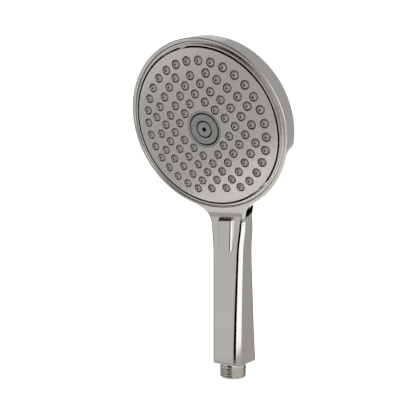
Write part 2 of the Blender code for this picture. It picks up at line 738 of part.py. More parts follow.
# --- Divider, selector and housing --------------------------------------------
def flow_divider(head, finish):
    """Make the plate of ring chambers that feeds the nozzle zones."""
    front = DIVIDER_DEPTH
    floor = DIVIDER_BACK - DIVIDER_WEB
    profile = behind([
        (DIVIDER_RADIUS, front),
        (DIVIDER_RADIUS, DIVIDER_BACK),
        (JET_BORE_RADIUS, DIVIDER_BACK),
        (JET_BORE_RADIUS, front),
        (HUB_RADIUS, front),
        (HUB_RADIUS, floor),
        (ZONE_WALL_RADIUS - ZONE_WALL / 2, floor),
        (ZONE_WALL_RADIUS - ZONE_WALL / 2, front),
        (ZONE_WALL_RADIUS + ZONE_WALL / 2, front),
        (ZONE_WALL_RADIUS + ZONE_WALL / 2, floor),
        (DIVIDER_RADIUS - DIVIDER_RIM, floor),
        (DIVIDER_RADIUS - DIVIDER_RIM, front),
    ])
    obj = turned("flow_divider", profile, LARGE_STEPS, head, finish)
    duct_angle = math.radians(PORT_ANGLES[2])
    duct = radial_box(
        "outer_duct", HUB_RADIUS - 1.0 * MM, ZONE_WALL_RADIUS + ZONE_WALL, CHANNEL_WIDTH + 2 * DUCT_WALL,
        front + 0.05 * MM, floor + 0.5 * MM, duct_angle, head,
    )
    boolean(obj, duct, "UNION")
    bosses, holes = [], []
    for x, y in screw_places():
        bosses.append(((x, y, -front - GAP), (x, y, -floor - 0.5 * MM), BOSS_RADIUS))
        depth = DIVIDER_BACK - SCREW_BITE - GAP
        holes.append(((x, y, -depth), (x, y, -DIVIDER_BACK - GAP), SCREW_SHANK_RADIUS + GAP))
    port_floor = front + PORT_FLOOR
    for number, (x, y) in enumerate(port_places()):
        end = front - GAP if number == 0 else port_floor
        holes.append(((x, y, -end), (x, y, -DIVIDER_BACK - GAP), PORT_RADIUS))
    boolean(obj, rods("divider_bosses", bosses, SMALL_STEPS, head, helper=True), "UNION")
    recess = ((0, 0, -DIVIDER_BACK + SEAL_RECESS), (0, 0, -DIVIDER_BACK - GAP), SEAL_RADIUS + GAP)
    boolean(obj, rods("seal_recess", [recess], MEDIUM_STEPS, head, helper=True))
    boolean(obj, rods("divider_holes", holes, 8, head, helper=True))
    for number, end in ((1, HUB_RADIUS + 3.0 * MM), (2, ZONE_WALL_RADIUS + 4.0 * MM)):
        channel = radial_box(
            f"channel_{number}", PORT_CIRCLE, end, CHANNEL_WIDTH, port_floor - 0.05 * MM,
            port_floor + CHANNEL_HEIGHT - PORT_FLOOR / 2, math.radians(PORT_ANGLES[number]), head,
        )
        boolean(obj, channel)
    return obj


def radial_box(name, start, end, width, near, far, turn, head):
    """Make a box that runs outwards from the head's axis between two depths."""
    obj = box(name, (start, -width / 2, -far), (end, width / 2, -near), head, helper=True)
    obj.rotation_euler = (0.0, 0.0, turn)
    return obj


def port_places():
    """List the places of the three ports of the selector."""
    places = []
    for angle in PORT_ANGLES:
        turn = math.radians(angle)
        places.append((PORT_CIRCLE * math.cos(turn), PORT_CIRCLE * math.sin(turn)))
    return places


def screw_places():
    """List the places of the housing screws on the head's face plane."""
    places = []
    for angle in SCREW_ANGLES:
        turn = math.radians(angle)
        places.append((SCREW_CIRCLE * math.cos(turn), SCREW_CIRCLE * math.sin(turn)))
    return places


def mode_seal(head, finish):
    """Make the rubber seal between the divider and the mode disc."""
    top = -SEAL_DEPTH
    profile = ring_profile(SEAL_RADIUS, JET_BORE_RADIUS, top, top - SEAL_THICKNESS)
    obj = turned("mode_seal", profile, MEDIUM_STEPS, head, finish)
    holes = []
    for x, y in port_places():
        holes.append(((x, y, top + GAP), (x, y, top - SEAL_THICKNESS - GAP), PORT_RADIUS))
    boolean(obj, rods("seal_ports", holes, 8, head, helper=True))
    return obj


def mode_disc(head, finish):
    """Make the disc that opens one port at a time, with its ratchet wheel and pivot."""
    outlines = [circle_outline(DISC_RADIUS, MEDIUM_STEPS)]
    for i in range(DISC_OPENINGS):
        turn = 2 * math.pi * i / DISC_OPENINGS
        x, y = PORT_CIRCLE * math.cos(turn), PORT_CIRCLE * math.sin(turn)
        outlines.append(circle_outline(PORT_RADIUS, 8, x, y))
    obj = prism("mode_disc", outlines, -DISC_DEPTH - DISC_THICKNESS, -DISC_DEPTH, head, finish)
    outline = []
    for i in range(RATCHET_TEETH):
        for part, radius in ((0.0, RATCHET_TIP_RADIUS), (0.5, RATCHET_ROOT_RADIUS)):
            turn = 2 * math.pi * (i + part) / RATCHET_TEETH
            outline.append((radius * math.cos(turn), radius * math.sin(turn)))
    low = -(RATCHET_DEPTH + RATCHET_THICKNESS)
    wheel = prism("ratchet_wheel", [outline], low, GAP - RATCHET_DEPTH, head, helper=True)
    boolean(obj, wheel, "UNION")
    pivot = ((0, 0, low + GAP), (0, 0, low - RATCHET_PIVOT_LENGTH), RATCHET_PIVOT_RADIUS)
    boolean(obj, rods("mode_pivot", [pivot], SMALL_STEPS, head, helper=True), "UNION")
    return obj


def waterway_housing(head, finish):
    """Make the housing that brings the water to the back of the mode disc."""
    flange_back = HOUSING_DEPTH + FLANGE_THICKNESS
    profile = behind([
        (FLANGE_RADIUS, HOUSING_DEPTH),
        (FLANGE_RADIUS, flange_back),
        (HOUSING_RADIUS, flange_back),
        (HOUSING_RADIUS, HOUSING_BACK_DEPTH),
        (0.0, HOUSING_BACK_DEPTH),
        (0.0, HOUSING_CAVITY_DEPTH),
        (HOUSING_CAVITY_RADIUS, HOUSING_CAVITY_DEPTH),
        (HOUSING_CAVITY_RADIUS, HOUSING_DEPTH),
    ])
    obj = turned("waterway_housing", profile[5:] + profile[:5], MEDIUM_STEPS, head, finish)
    spigot = box(
        "spigot_block",
        (-SPIGOT_HALF_WIDTH, -SPIGOT_END, -HOUSING_BACK_DEPTH + 0.1 * MM),
        (SPIGOT_HALF_WIDTH, -HOUSING_RADIUS + 3.0 * MM, -HOUSING_DEPTH - 0.1 * MM),
        head, helper=True,
    )
    boolean(obj, spigot, "UNION")
    pivot_depth = RATCHET_DEPTH + RATCHET_THICKNESS + RATCHET_PIVOT_LENGTH + GAP
    holes = [
        ((0, 0, -HOUSING_CAVITY_DEPTH + 1.0 * MM), (0, 0, -pivot_depth), RATCHET_PIVOT_RADIUS + GAP),
        ((0, -SPIGOT_END - 1.0 * MM, -TUBE_DEPTH), (0, -SPIGOT_END + SPIGOT_SOCKET, -TUBE_DEPTH), SOCKET_RADIUS),
        ((0, -SPIGOT_END, -TUBE_DEPTH), (0, -HOUSING_CAVITY_RADIUS + 1.0 * MM, -TUBE_DEPTH), TUBE_RADIUS - TUBE_WALL),
    ]
    for x, y in screw_places():
        holes.append(((x, y, GAP - HOUSING_DEPTH), (x, y, -flange_back - GAP), SCREW_SHANK_RADIUS + GAP))
    for index, hole in enumerate(holes):
        boolean(obj, rods(f"housing_hole_{index}", [hole], SMALL_STEPS, head, helper=True))
    groove = HOUSING_ORING_WIRE + GAP
    groove_profile = ring_profile(
        HOUSING_ORING_RADIUS + groove, HOUSING_ORING_RADIUS - groove,
        1.0 * MM - HOUSING_DEPTH, -(HOUSING_DEPTH + 2 * HOUSING_ORING_WIRE + GAP),
    )
    boolean(obj, turned("housing_groove", groove_profile, MEDIUM_STEPS, head, helper=True))
    spare = ROD_WIDTH / 2 + 2 * GAP
    slot = box(
        "rod_slot",
        (ROD_OFFSET - spare, -FLANGE_RADIUS - 1.0 * MM, -(ROD_DEPTH + ROD_THICKNESS + GAP)),
        (ROD_OFFSET + spare, 0.0, GAP - ROD_DEPTH),
        head, helper=True,
    )
    boolean(obj, slot)
    return obj


def housing_oring(head, finish):
    """Make the O-ring that seals the housing to the divider."""
    depth = DIVIDER_BACK + GAP + HOUSING_ORING_WIRE
    return torus("housing_oring", HOUSING_ORING_RADIUS, HOUSING_ORING_WIRE, -depth, head, finish)


def housing_screws(head, finish):
    """Make the three screws that hold the housing to the divider."""
    head_low = HOUSING_DEPTH + FLANGE_THICKNESS + GAP
    tip = DIVIDER_BACK - SCREW_BITE
    profile = behind([
        (0.0, tip),
        (SCREW_SHANK_RADIUS, tip),
        (SCREW_SHANK_RADIUS, head_low),
        (SCREW_HEAD_RADIUS, head_low),
        (SCREW_HEAD_RADIUS, head_low + SCREW_HEAD_HEIGHT),
        (0.0, head_low + SCREW_HEAD_HEIGHT),
    ])
    made = []
    for number, (x, y) in enumerate(screw_places(), start=1):
        screw = turned(f"housing_screw_{number}", profile, SMALL_STEPS, head, finish)
        screw.location = (x, y, 0.0)
        made.append(screw)
    return made


def selector_rod(head, finish):
    """Make the flat rod from the button up to the ratchet, with finger and cam end."""
    half = ROD_WIDTH / 2
    middle = -RATCHET_TIP_RADIUS * math.sin(math.pi / RATCHET_TEETH)
    high = middle + ROD_FINGER_HEIGHT / 2
    low = middle - ROD_FINGER_HEIGHT / 2
    outline = [
        (ROD_OFFSET - half, ROD_BOTTOM),
        (ROD_OFFSET + half, ROD_BOTTOM),
        (ROD_OFFSET + half, ROD_TOP),
        (ROD_OFFSET - half, ROD_TOP),
        (ROD_OFFSET - half, high),
        (ROD_FINGER_REACH, high),
        (ROD_FINGER_REACH, low),
        (ROD_OFFSET - half, low),
    ]
    obj = prism("selector_rod", [outline], -ROD_DEPTH - ROD_THICKNESS, -ROD_DEPTH, head, finish)
    wide = 2 * ROD_WIDTH
    cam = box("rod_cam_cut", (-wide, -20 * MM, 0), (wide, 20 * MM, 20 * MM), head, helper=True)
    cam.location = (ROD_OFFSET, ROD_BOTTOM + ROD_CAM_LENGTH, -ROD_DEPTH)
    cam.rotation_euler = (math.atan2(ROD_THICKNESS, ROD_CAM_LENGTH), 0.0, 0.0)
    boolean(obj, cam)
    return obj


def rod_guide(head, finish):
    """Make the bridge behind the divider that keeps the rod straight."""
    spare = ROD_WIDTH / 2 + GAP
    wide = spare + ROD_GUIDE_WALL
    low = ROD_GUIDE_PLACE - ROD_GUIDE_LENGTH / 2
    high = ROD_GUIDE_PLACE + ROD_GUIDE_LENGTH / 2
    back = ROD_DEPTH + ROD_THICKNESS + GAP
    front = DIVIDER_BACK + GAP
    rod_front = ROD_DEPTH - GAP
    outline = [
        (ROD_OFFSET - wide, -front),
        (ROD_OFFSET - wide, -back - ROD_GUIDE_WALL),
        (ROD_OFFSET + wide, -back - ROD_GUIDE_WALL),
        (ROD_OFFSET + wide, -front),
    ]
    hole = [
        (ROD_OFFSET - spare, -rod_front),
        (ROD_OFFSET - spare, -back),
        (ROD_OFFSET + spare, -back),
        (ROD_OFFSET + spare, -rod_front),
    ]
    obj = prism("rod_guide", [outline, hole], -high, -low, head, finish)
    obj.data.transform(Matrix.Rotation(math.pi / 2, 4, "X"))
    return obj


# --- Inlet --------------------------------------------------------------------
def inlet_nipple(finish):
    """Make the threaded inlet with its bore, O-ring groove and tube socket."""
    root = THREAD_RADIUS - THREAD_DEPTH
    top = THREAD_LENGTH
    groove_low = NIPPLE_ORING_HEIGHT - NIPPLE_ORING_WIRE - GAP
    groove_high = NIPPLE_ORING_HEIGHT + NIPPLE_ORING_WIRE + GAP
    socket_floor = NIPPLE_SHANK_TOP
    outer = [
        (NIPPLE_SPIGOT_RADIUS, NIPPLE_TOP),
        (NIPPLE_SPIGOT_RADIUS, NIPPLE_SHANK_TOP),
        (NIPPLE_SHANK_RADIUS, NIPPLE_SHANK_TOP),
        (NIPPLE_SHANK_RADIUS, groove_high),
        (NIPPLE_SHANK_RADIUS - NIPPLE_GROOVE, groove_high),
        (NIPPLE_SHANK_RADIUS - NIPPLE_GROOVE, groove_low),
        (NIPPLE_SHANK_RADIUS, groove_low),
        (NIPPLE_SHANK_RADIUS, top),
        (root, top - 0.1 * MM),
    ]
    crest = THREAD_PITCH * 0.18
    first = THREAD_CHAMFER + THREAD_PITCH * (THREAD_TURNS - 0.5)
    for i in range(THREAD_TURNS):
        middle = first - THREAD_PITCH * i
        outer += [
            (root, middle + THREAD_PITCH * 0.42),
            (THREAD_RADIUS, middle + crest),
            (THREAD_RADIUS, middle - crest),
            (root, middle - THREAD_PITCH * 0.42),
        ]
    outer.append((root - 0.2 * MM, 0.0))
    inner = [
        (NIPPLE_BORE_RADIUS, 0.0),
        (NIPPLE_BORE_RADIUS, NIPPLE_BORE_TOP),
        (TUBE_RADIUS - TUBE_WALL, NIPPLE_BORE_TOP),
        (TUBE_RADIUS - TUBE_WALL, socket_floor),
        (SOCKET_RADIUS, socket_floor),
        (SOCKET_RADIUS, NIPPLE_TOP - 4.0 * MM),
        (SOCKET_RADIUS + NIPPLE_GROOVE, NIPPLE_TOP - 4.0 * MM),
        (SOCKET_RADIUS + NIPPLE_GROOVE, NIPPLE_TOP - 2.2 * MM),
        (SOCKET_RADIUS, NIPPLE_TOP - 2.2 * MM),
        (SOCKET_RADIUS, NIPPLE_TOP),
    ]
    return turned("inlet_nipple", outer + inner, MEDIUM_STEPS, None, finish)


def inlet_screen(finish):
    """Make the filter screen in the mouth of the inlet."""
    outlines = [circle_outline(INSERT_RADIUS, MEDIUM_STEPS), circle_outline(SCREEN_HOLE_RADIUS, 8)]
    for i in range(6):
        turn = 2 * math.pi * i / 6
        place = INSERT_RADIUS * 0.6
        x, y = place * math.cos(turn), place * math.sin(turn)
        outlines.append(circle_outline(SCREEN_HOLE_RADIUS, 8, x, y))
    return prism(
        "inlet_screen", outlines, SCREEN_HEIGHT, SCREEN_HEIGHT + SCREEN_THICKNESS, None, finish
    )


def flow_regulator(finish):
    """Make the flow regulating ring."""
    profile = ring_profile(
        INSERT_RADIUS, REGULATOR_BORE_RADIUS, REGULATOR_HEIGHT + REGULATOR_THICKNESS, REGULATOR_HEIGHT
    )
    return turned("flow_regulator", profile, MEDIUM_STEPS, None, finish)


def check_valve_cage(finish):
    """Make the cage of the check valve: a seat below and a stem guide above."""
    top = CAGE_BOTTOM + CAGE_HEIGHT
    seat = CAGE_BOTTOM + CAGE_SEAT
    inner = INSERT_RADIUS - CAGE_WALL
    guide = POPPET_STEM_RADIUS + GAP
    profile = [
        (INSERT_RADIUS, top),
        (INSERT_RADIUS, CAGE_BOTTOM),
        (CAGE_SEAT_RADIUS, CAGE_BOTTOM),
        (CAGE_SEAT_RADIUS, seat),
        (inner, seat),
        (inner, top - CAGE_TOP),
        (guide, top - CAGE_TOP),
        (guide, top),
    ]
    obj = turned("check_valve_cage", profile, MEDIUM_STEPS, None, finish)
    holes = []
    for i in range(4):
        turn = 2 * math.pi * (i + 0.5) / 4
        x, y = 3.4 * MM * math.cos(turn), 3.4 * MM * math.sin(turn)
        holes.append(((x, y, top - CAGE_TOP - GAP), (x, y, top + GAP), 1.0 * MM))
    boolean(obj, rods("cage_ports", holes, 8, helper=True))
    return obj


def check_valve_poppet(finish):
    """Make the poppet, which lifts off its seat when water flows."""
    low = CAGE_SEAT + GAP
    profile = [
        (0.0, CAGE_HEIGHT - GAP),
        (POPPET_STEM_RADIUS, CAGE_HEIGHT - GAP),
        (POPPET_STEM_RADIUS, low + POPPET_THICKNESS),
        (POPPET_RADIUS, low + POPPET_THICKNESS),
        (POPPET_RADIUS, low),
        (0.0, low),
    ]
    obj = turned("check_valve_poppet", profile, SMALL_STEPS, None, finish)
    obj.location = (0.0, 0.0, CAGE_BOTTOM)
    return obj


def check_valve_spring(finish):
    """Make the spring that closes the check valve."""
    low = CAGE_BOTTOM + CAGE_SEAT + GAP + POPPET_THICKNESS + GAP + SPRING_WIRE
    high = CAGE_BOTTOM + CAGE_HEIGHT - CAGE_TOP - GAP - SPRING_WIRE
    points = []
    steps = 10 * SPRING_TURNS
    for i in range(steps + 1):
        turn = 2 * math.pi * i / 10
        x, y = SPRING_COIL_RADIUS * math.cos(turn), SPRING_COIL_RADIUS * math.sin(turn)
        points.append((x, y, low + (high - low) * i / steps))
    return wire_coil("check_valve_spring", points, SPRING_WIRE, None, finish)


def nipple_oring(finish):
    """Make the O-ring that seals the inlet into the handle."""
    major = NIPPLE_SHANK_RADIUS - NIPPLE_GROOVE + GAP + NIPPLE_ORING_WIRE
    return torus("nipple_oring", major, NIPPLE_ORING_WIRE, NIPPLE_ORING_HEIGHT, None, finish)


# --- Water tube ---------------------------------------------------------------
def tube_path():
    """List the points of the water tube from the inlet up to the housing."""
    start = NIPPLE_SHANK_TOP + GAP
    end = head_point(0.0, -SPIGOT_END + SPIGOT_SOCKET - 2 * GAP - TUBE_WALL, TUBE_DEPTH)
    bend = head_point(0.0, -HEAD_RADIUS + 2.5 * MM, TUBE_DEPTH - 0.7 * MM)
    back = handle_station(HINGE_Z)[1][0] - HANDLE_WALL - TUBE_RADIUS - 1.0 * MM
    knots = [
        Vector((0.0, 0.0, start)),
        Vector((0.0, 0.0, NIPPLE_TOP + 4.0 * MM)),
        Vector((0.0, back / 2, (NIPPLE_TOP + HINGE_Z) / 2)),
        Vector((0.0, back, HINGE_Z - 8.0 * MM)),
        Vector((0.0, back * 0.7, HINGE_Z + 12.0 * MM)),
        Vector((0.0, back * 0.2, HINGE_Z + 25.0 * MM)),
        bend,
        head_point(0.0, -SPIGOT_END - 18.0 * MM, TUBE_DEPTH - 0.4 * MM),
        head_point(0.0, -SPIGOT_END - 4.0 * MM, TUBE_DEPTH),
        end,
    ]
    return knots


def water_tube(finish):
    """Make the inner tube that carries the water up the handle."""
    knots = tube_path()
    obj = wire_coil("water_tube", knots, TUBE_RADIUS, None, finish)
    curve = obj.data
    curve.bevel_resolution = 3
    solid = curve_to_mesh(obj)
    first = knots[0] - Vector((0.0, 0.0, 1.0 * MM))
    last = knots[-1] + (knots[-1] - knots[-2]).normalized() * 1.0 * MM
    bore_points = [first] + knots[1:-1] + [last]
    bore = wire_coil("tube_bore", bore_points, TUBE_RADIUS - TUBE_WALL, None, None)
    bore.data.bevel_resolution = 3
    bore_mesh = curve_to_mesh(bore)
    PARTS.objects.unlink(bore_mesh)
    CUTTERS.objects.link(bore_mesh)
    bore_mesh.hide_render = True
    bore_mesh.display_type = "WIRE"
    boolean(solid, bore_mesh)
    smooth(solid)
    return solid


def curve_to_mesh(obj):
    """Replace a curve object with the mesh that it makes, welded."""
    bpy.context.view_layer.update()
    graph = bpy.context.evaluated_depsgraph_get()
    mesh = bpy.data.meshes.new_from_object(obj.evaluated_get(graph))
    name = obj.name
    place = obj.matrix_world.copy()
    bpy.data.objects.remove(obj)
    weld(mesh)
    mesh.name = name
    solid = add_object(name, mesh)
    solid.matrix_world = place
    return solid


def tube_oring(finish):
    """Make the O-ring round the foot of the water tube."""
    major = TUBE_RADIUS + GAP + TUBE_ORING_WIRE
    return torus("tube_oring", major, TUBE_ORING_WIRE, NIPPLE_TOP - 3.1 * MM, None, finish)


def tube_end_seal(head, finish):
    """Make the flat washer between the tube and the housing."""
    outer = TUBE_RADIUS
    inner = TUBE_RADIUS - TUBE_WALL
    obj = turned("tube_end_seal", ring_profile(outer, inner, TUBE_WALL / 2, -TUBE_WALL / 2), SMALL_STEPS, head, finish)
    obj.rotation_euler = (math.pi / 2, 0.0, 0.0)
    obj.location = (0.0, -SPIGOT_END + SPIGOT_SOCKET - GAP - TUBE_WALL / 2, -TUBE_DEPTH)
    return obj


# --- Mode button --------------------------------------------------------------
def mode_button(finish):
    """Make the thumb button with its sloping face, flange, arm and hinge barrel."""
    front = BUTTON_FRONT_TOP - 2.0 * MM
    obj = upright_prism("mode_button", button_outline(0.0), front, BUTTON_INNER, finish)
    lean = math.atan2(BUTTON_FRONT_BOTTOM - BUTTON_FRONT_TOP, BUTTON_TOP - BUTTON_BOTTOM)
    wide = 2 * BUTTON_HALF_TOP
    slab = box("button_face_cut", (-wide, -10 * MM, -40 * MM), (wide, 0, 40 * MM), helper=True)
    slab.location = (0.0, BUTTON_FRONT_TOP, BUTTON_TOP)
    slab.rotation_euler = (lean, 0.0, 0.0)
    boolean(obj, slab)
    ramp = box("button_ramp_cut", (-wide, -20 * MM, 0), (wide, 10 * MM, 20 * MM), helper=True)
    ramp.location = (0.0, BUTTON_FRONT_TOP, BUTTON_TOP)
    ramp.rotation_euler = (math.radians(-47.0), 0.0, 0.0)
    boolean(obj, ramp)
    bevel(obj, BUTTON_EDGE)
    back = BUTTON_INNER - GAP
    half = BUTTON_FLANGE_HALF
    flange = box(
        "button_flange", (-half, back, HINGE_Z), (half, back + BUTTON_FLANGE, BUTTON_FLANGE_TOP), helper=True
    )
    boolean(obj, flange, "UNION")
    contact = head_point(0.0, ROD_BOTTOM + ROD_CAM_LENGTH, ROD_DEPTH)
    arm = box(
        "button_arm",
        (ROD_OFFSET - BUTTON_ARM_WIDTH / 2, back + BUTTON_FLANGE / 2, BUTTON_ARM_FOOT),
        (ROD_OFFSET + BUTTON_ARM_WIDTH / 2, contact.y - GAP, contact.z - GAP),
        helper=True,
    )
    boolean(obj, arm, "UNION")
    barrel_end = HINGE_SPRING_SPAN
    barrel = rods(
        "button_barrel", [((-half, HINGE_Y, HINGE_Z), (barrel_end, HINGE_Y, HINGE_Z), HINGE_BARREL_RADIUS)],
        SMALL_STEPS, helper=True,
    )
    boolean(obj, barrel, "UNION")
    pin = rods(
        "button_pin_hole", [((-half - 1 * MM, HINGE_Y, HINGE_Z), (half + 1 * MM, HINGE_Y, HINGE_Z), PIN_RADIUS + GAP)],
        SMALL_STEPS, helper=True,
    )
    boolean(obj, pin)
    spring_room = box(
        "spring_room",
        (barrel_end, HINGE_Y - 4.0 * MM, HINGE_Z - 4.0 * MM),
        (half + 1.0 * MM, HINGE_Y + 4.0 * MM, HINGE_Z + 2.8 * MM),
        helper=True,
    )
    boolean(obj, spring_room)
    set_origin(obj, Vector((0.0, HINGE_Y, HINGE_Z)))
    smooth(obj)
    return obj


def set_origin(obj, place):
    """Move an object's origin without moving its shape."""
    obj.data.transform(Matrix.Translation(-place))
    obj.location = place


def button_pin(finish):
    """Make the hinge pin, held in sockets in the handle's side walls."""
    reach = half_width(HINGE_Z) - HANDLE_WALL + PIN_SOCKET - GAP
    return rods(
        "button_pin", [((-reach, HINGE_Y, HINGE_Z), (reach, HINGE_Y, HINGE_Z), PIN_RADIUS)],
        SMALL_STEPS, None, finish,
    )


def button_spring(finish):
    """Make the torsion spring that lifts the button, coiled round its pin."""
    radius = PIN_RADIUS + GAP + HINGE_SPRING_WIRE
    start = HINGE_SPRING_SPAN + 2 * GAP + HINGE_SPRING_WIRE
    span = BUTTON_FLANGE_HALF - start - GAP
    points = [(start, HINGE_Y + radius, HINGE_Z + 4.0 * MM)]
    steps = 10 * HINGE_SPRING_TURNS
    for i in range(steps + 1):
        turn = -2 * math.pi * i / 10
        y, z = radius * math.cos(turn), radius * math.sin(turn)
        points.append((start + span * i / steps, HINGE_Y + y, HINGE_Z + z))
    points.append((start + span, HINGE_Y + radius, HINGE_Z - 6.0 * MM))
    return wire_coil("button_spring", points, HINGE_SPRING_WIRE, None, finish)


# --- Assembly -----------------------------------------------------------------
def main():
    """Build every piece of the shower head."""
    nickel = material("brushed_nickel", (0.44, 0.42, 0.40), 0.22, 1.0)
    rubber = material("grey_silicone", (0.20, 0.20, 0.20), 0.55, 0.0)
    plastic = material("pale_plastic", (0.62, 0.62, 0.60), 0.45, 0.0)
    dark = material("dark_plastic", (0.05, 0.05, 0.055), 0.45, 0.0)
    seal = material("black_rubber", (0.02, 0.02, 0.02), 0.7, 0.0)
    steel = material("spring_steel", (0.55, 0.55, 0.56), 0.3, 1.0)
    head = head_frame()
    body_shell(head, nickel)
    bezel_ring(head, nickel)
    spray_plate(head, nickel)
    nozzle_mat(head, rubber)
    centre_collar(head, rubber)
    centre_disc(head, rubber)
    centre_jet(head, rubber)
    flow_divider(head, plastic)
    mode_seal(head, seal)
    mode_disc(head, dark)
    waterway_housing(head, plastic)
    housing_oring(head, seal)
    housing_screws(head, steel)
    selector_rod(head, dark)
    rod_guide(head, plastic)
    inlet_nipple(nickel)
    inlet_screen(steel)
    flow_regulator(dark)
    check_valve_cage(plastic)
    check_valve_poppet(dark)
    check_valve_spring(steel)
    nipple_oring(seal)
    water_tube(plastic)
    tube_oring(seal)
    tube_end_seal(head, seal)
    mode_button(nickel)
    button_pin(steel)
    button_spring(steel)


clear_scene()
PARTS = new_collection("handheld_shower_head")
CUTTERS = new_collection("cutters")
main()
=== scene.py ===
"""Finished look of the handheld shower head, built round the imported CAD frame.

The handle runs along +Z, the spray face looks towards -Y and leans down, and the
origin is the centre of the open end of the inlet thread. Units are metres.
"""

import json
import logging
import math
from dataclasses import dataclass, field
from enum import Enum

import bmesh
import bpy
import numpy as np
from mathutils import Matrix, Vector

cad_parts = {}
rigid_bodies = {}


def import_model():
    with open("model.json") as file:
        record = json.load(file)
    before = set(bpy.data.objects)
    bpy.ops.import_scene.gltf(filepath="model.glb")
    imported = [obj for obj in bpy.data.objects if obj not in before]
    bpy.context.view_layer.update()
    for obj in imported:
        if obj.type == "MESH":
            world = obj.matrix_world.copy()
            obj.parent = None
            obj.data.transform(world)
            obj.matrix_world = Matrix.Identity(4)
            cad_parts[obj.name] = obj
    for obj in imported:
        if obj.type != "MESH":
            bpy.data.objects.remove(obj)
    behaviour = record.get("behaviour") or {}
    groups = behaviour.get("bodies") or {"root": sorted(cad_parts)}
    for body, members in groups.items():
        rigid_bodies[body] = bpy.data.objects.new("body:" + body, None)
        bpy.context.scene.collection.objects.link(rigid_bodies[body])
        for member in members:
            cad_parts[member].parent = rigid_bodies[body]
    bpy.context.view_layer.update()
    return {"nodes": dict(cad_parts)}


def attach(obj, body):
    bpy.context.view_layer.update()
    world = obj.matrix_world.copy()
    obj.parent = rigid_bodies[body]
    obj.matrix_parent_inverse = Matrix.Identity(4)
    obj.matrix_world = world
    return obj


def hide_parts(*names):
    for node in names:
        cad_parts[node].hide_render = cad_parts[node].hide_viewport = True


LOG = logging.getLogger("shower_head")
MM = 0.001


class Body(Enum):
    """CAD bodies that the rebuilt pieces ride on."""

    HOUSING = "housing"
    BUTTON = "button"


class Shading(Enum):
    """Sharpest angle, in degrees, that a mesh is still shaded smooth over."""

    EDGES = 32.0
    FLATS = 8.0


# --- Small helpers ------------------------------------------------------------
def srgb(code: str) -> tuple[float, float, float, float]:
    """Turn a hexadecimal colour into linear light.

    Args:
        code: colour such as "a1b2c3".

    Returns:
        Linear red, green, blue and alpha.
    """
    parts = [int(code[i : i + 2], 16) / 255 for i in (0, 2, 4)]
    linear = [p / 12.92 if p <= 0.04045 else ((p + 0.055) / 1.055) ** 2.4 for p in parts]
    return (*linear, 1.0)


def smoothstep(low: float, high: float, value: float) -> float:
    """Ease from 0 to 1 between two values.

    Args:
        low: value where the result is 0.
        high: value where the result is 1.
        value: place between them.

    Returns:
        Eased share.
    """
    share = min(1.0, max(0.0, (value - low) / (high - low)))
    return share * share * (3 - 2 * share)


def mesh_object(name: str, mesh: bpy.types.Mesh) -> bpy.types.Object:
    """Link a mesh to the scene under a name.

    Args:
        name: name of the piece.
        mesh: its mesh.

    Returns:
        The new object.
    """
    obj = bpy.data.objects.new(name, mesh)
    bpy.context.scene.collection.objects.link(obj)
    return obj


def from_shape(name: str, shape: bmesh.types.BMesh, place: Matrix | None = None) -> bpy.types.Object:
    """Turn a finished shape into an object and free it.

    Args:
        name: name of the piece.
        shape: its geometry.
        place: matrix that moves the geometry, if it isn't in the row frame.

    Returns:
        The new object.
    """
    mesh = bpy.data.meshes.new(name)
    shape.to_mesh(mesh)
    shape.free()
    if place is not None:
        mesh.transform(place)
    return mesh_object(name, mesh)


def baked(obj: bpy.types.Object) -> bpy.types.Object:
    """Apply every modifier and leave a plain mesh.

    Args:
        obj: object with modifiers, or a curve.

    Returns:
        A mesh object with the same name.
    """
    bpy.context.view_layer.update()
    graph = bpy.context.evaluated_depsgraph_get()
    mesh = bpy.data.meshes.new_from_object(obj.evaluated_get(graph))
    name = obj.name
    place = obj.matrix_world.copy()
    bpy.data.objects.remove(obj)
    mesh.transform(place)
    mesh.name = name
    return mesh_object(name, mesh)


def tidy_normals(mesh: bpy.types.Mesh, merge: float = 1e-6) -> None:
    """Weld loose seams and turn every face outwards.

    Args:
        mesh: mesh to tidy.
        merge: distance within which points become one.
    """
    shape = bmesh.new()
    shape.from_mesh(mesh)
    bmesh.ops.remove_doubles(shape, verts=shape.verts, dist=merge)
    bmesh.ops.recalc_face_normals(shape, faces=shape.faces)
    shape.to_mesh(mesh)
    shape.free()


def shade(obj: bpy.types.Object, shading: Shading) -> bpy.types.Object:
    """Shade an object smooth up to the edges that stay sharp.

    Args:
        obj: piece to shade.
        shading: sharpest angle that is still smooth.

    Returns:
        The same object.
    """
    obj.data.shade_smooth()
    obj.data.set_sharp_from_angle(angle=math.radians(shading.value))
    return obj


def add_node(tree: bpy.types.NodeTree, kind: str, settings: dict | None = None, **links) -> bpy.types.Node:
    """Add a node, set its properties and fill or link its inputs.

    Args:
        tree: tree to add to.
        kind: node type.
        settings: properties and values of the node, an integer key being an input index.
        **links: input name, with underscores for spaces, to a socket or a value.

    Returns:
        The new node.
    """
    node = tree.nodes.new(kind)
    for key, value in (settings or {}).items():
        if isinstance(key, int):
            if isinstance(value, bpy.types.NodeSocket):
                tree.links.new(value, node.inputs[key])
            else:
                node.inputs[key].default_value = value
        else:
            setattr(node, key, value)
    for key, value in links.items():
        socket = node.inputs[key.replace("_", " ")]
        if isinstance(value, bpy.types.NodeSocket):
            tree.links.new(value, socket)
        else:
            socket.default_value = value
    return node


def new_tree(name: str, inputs: dict[str, str]) -> bpy.types.NodeTree:
    """Start a Geometry Nodes tree that takes and gives geometry.

    Args:
        name: name of the tree.
        inputs: name of each further input to the kind of its socket.

    Returns:
        The tree.
    """
    tree = bpy.data.node_groups.new(name, "GeometryNodeTree")
    for title, kind in {"Geometry": "Geometry", **inputs}.items():
        tree.interface.new_socket(title, in_out="INPUT", socket_type=f"NodeSocket{kind}")
    tree.interface.new_socket("Geometry", in_out="OUTPUT", socket_type="NodeSocketGeometry")
    return tree


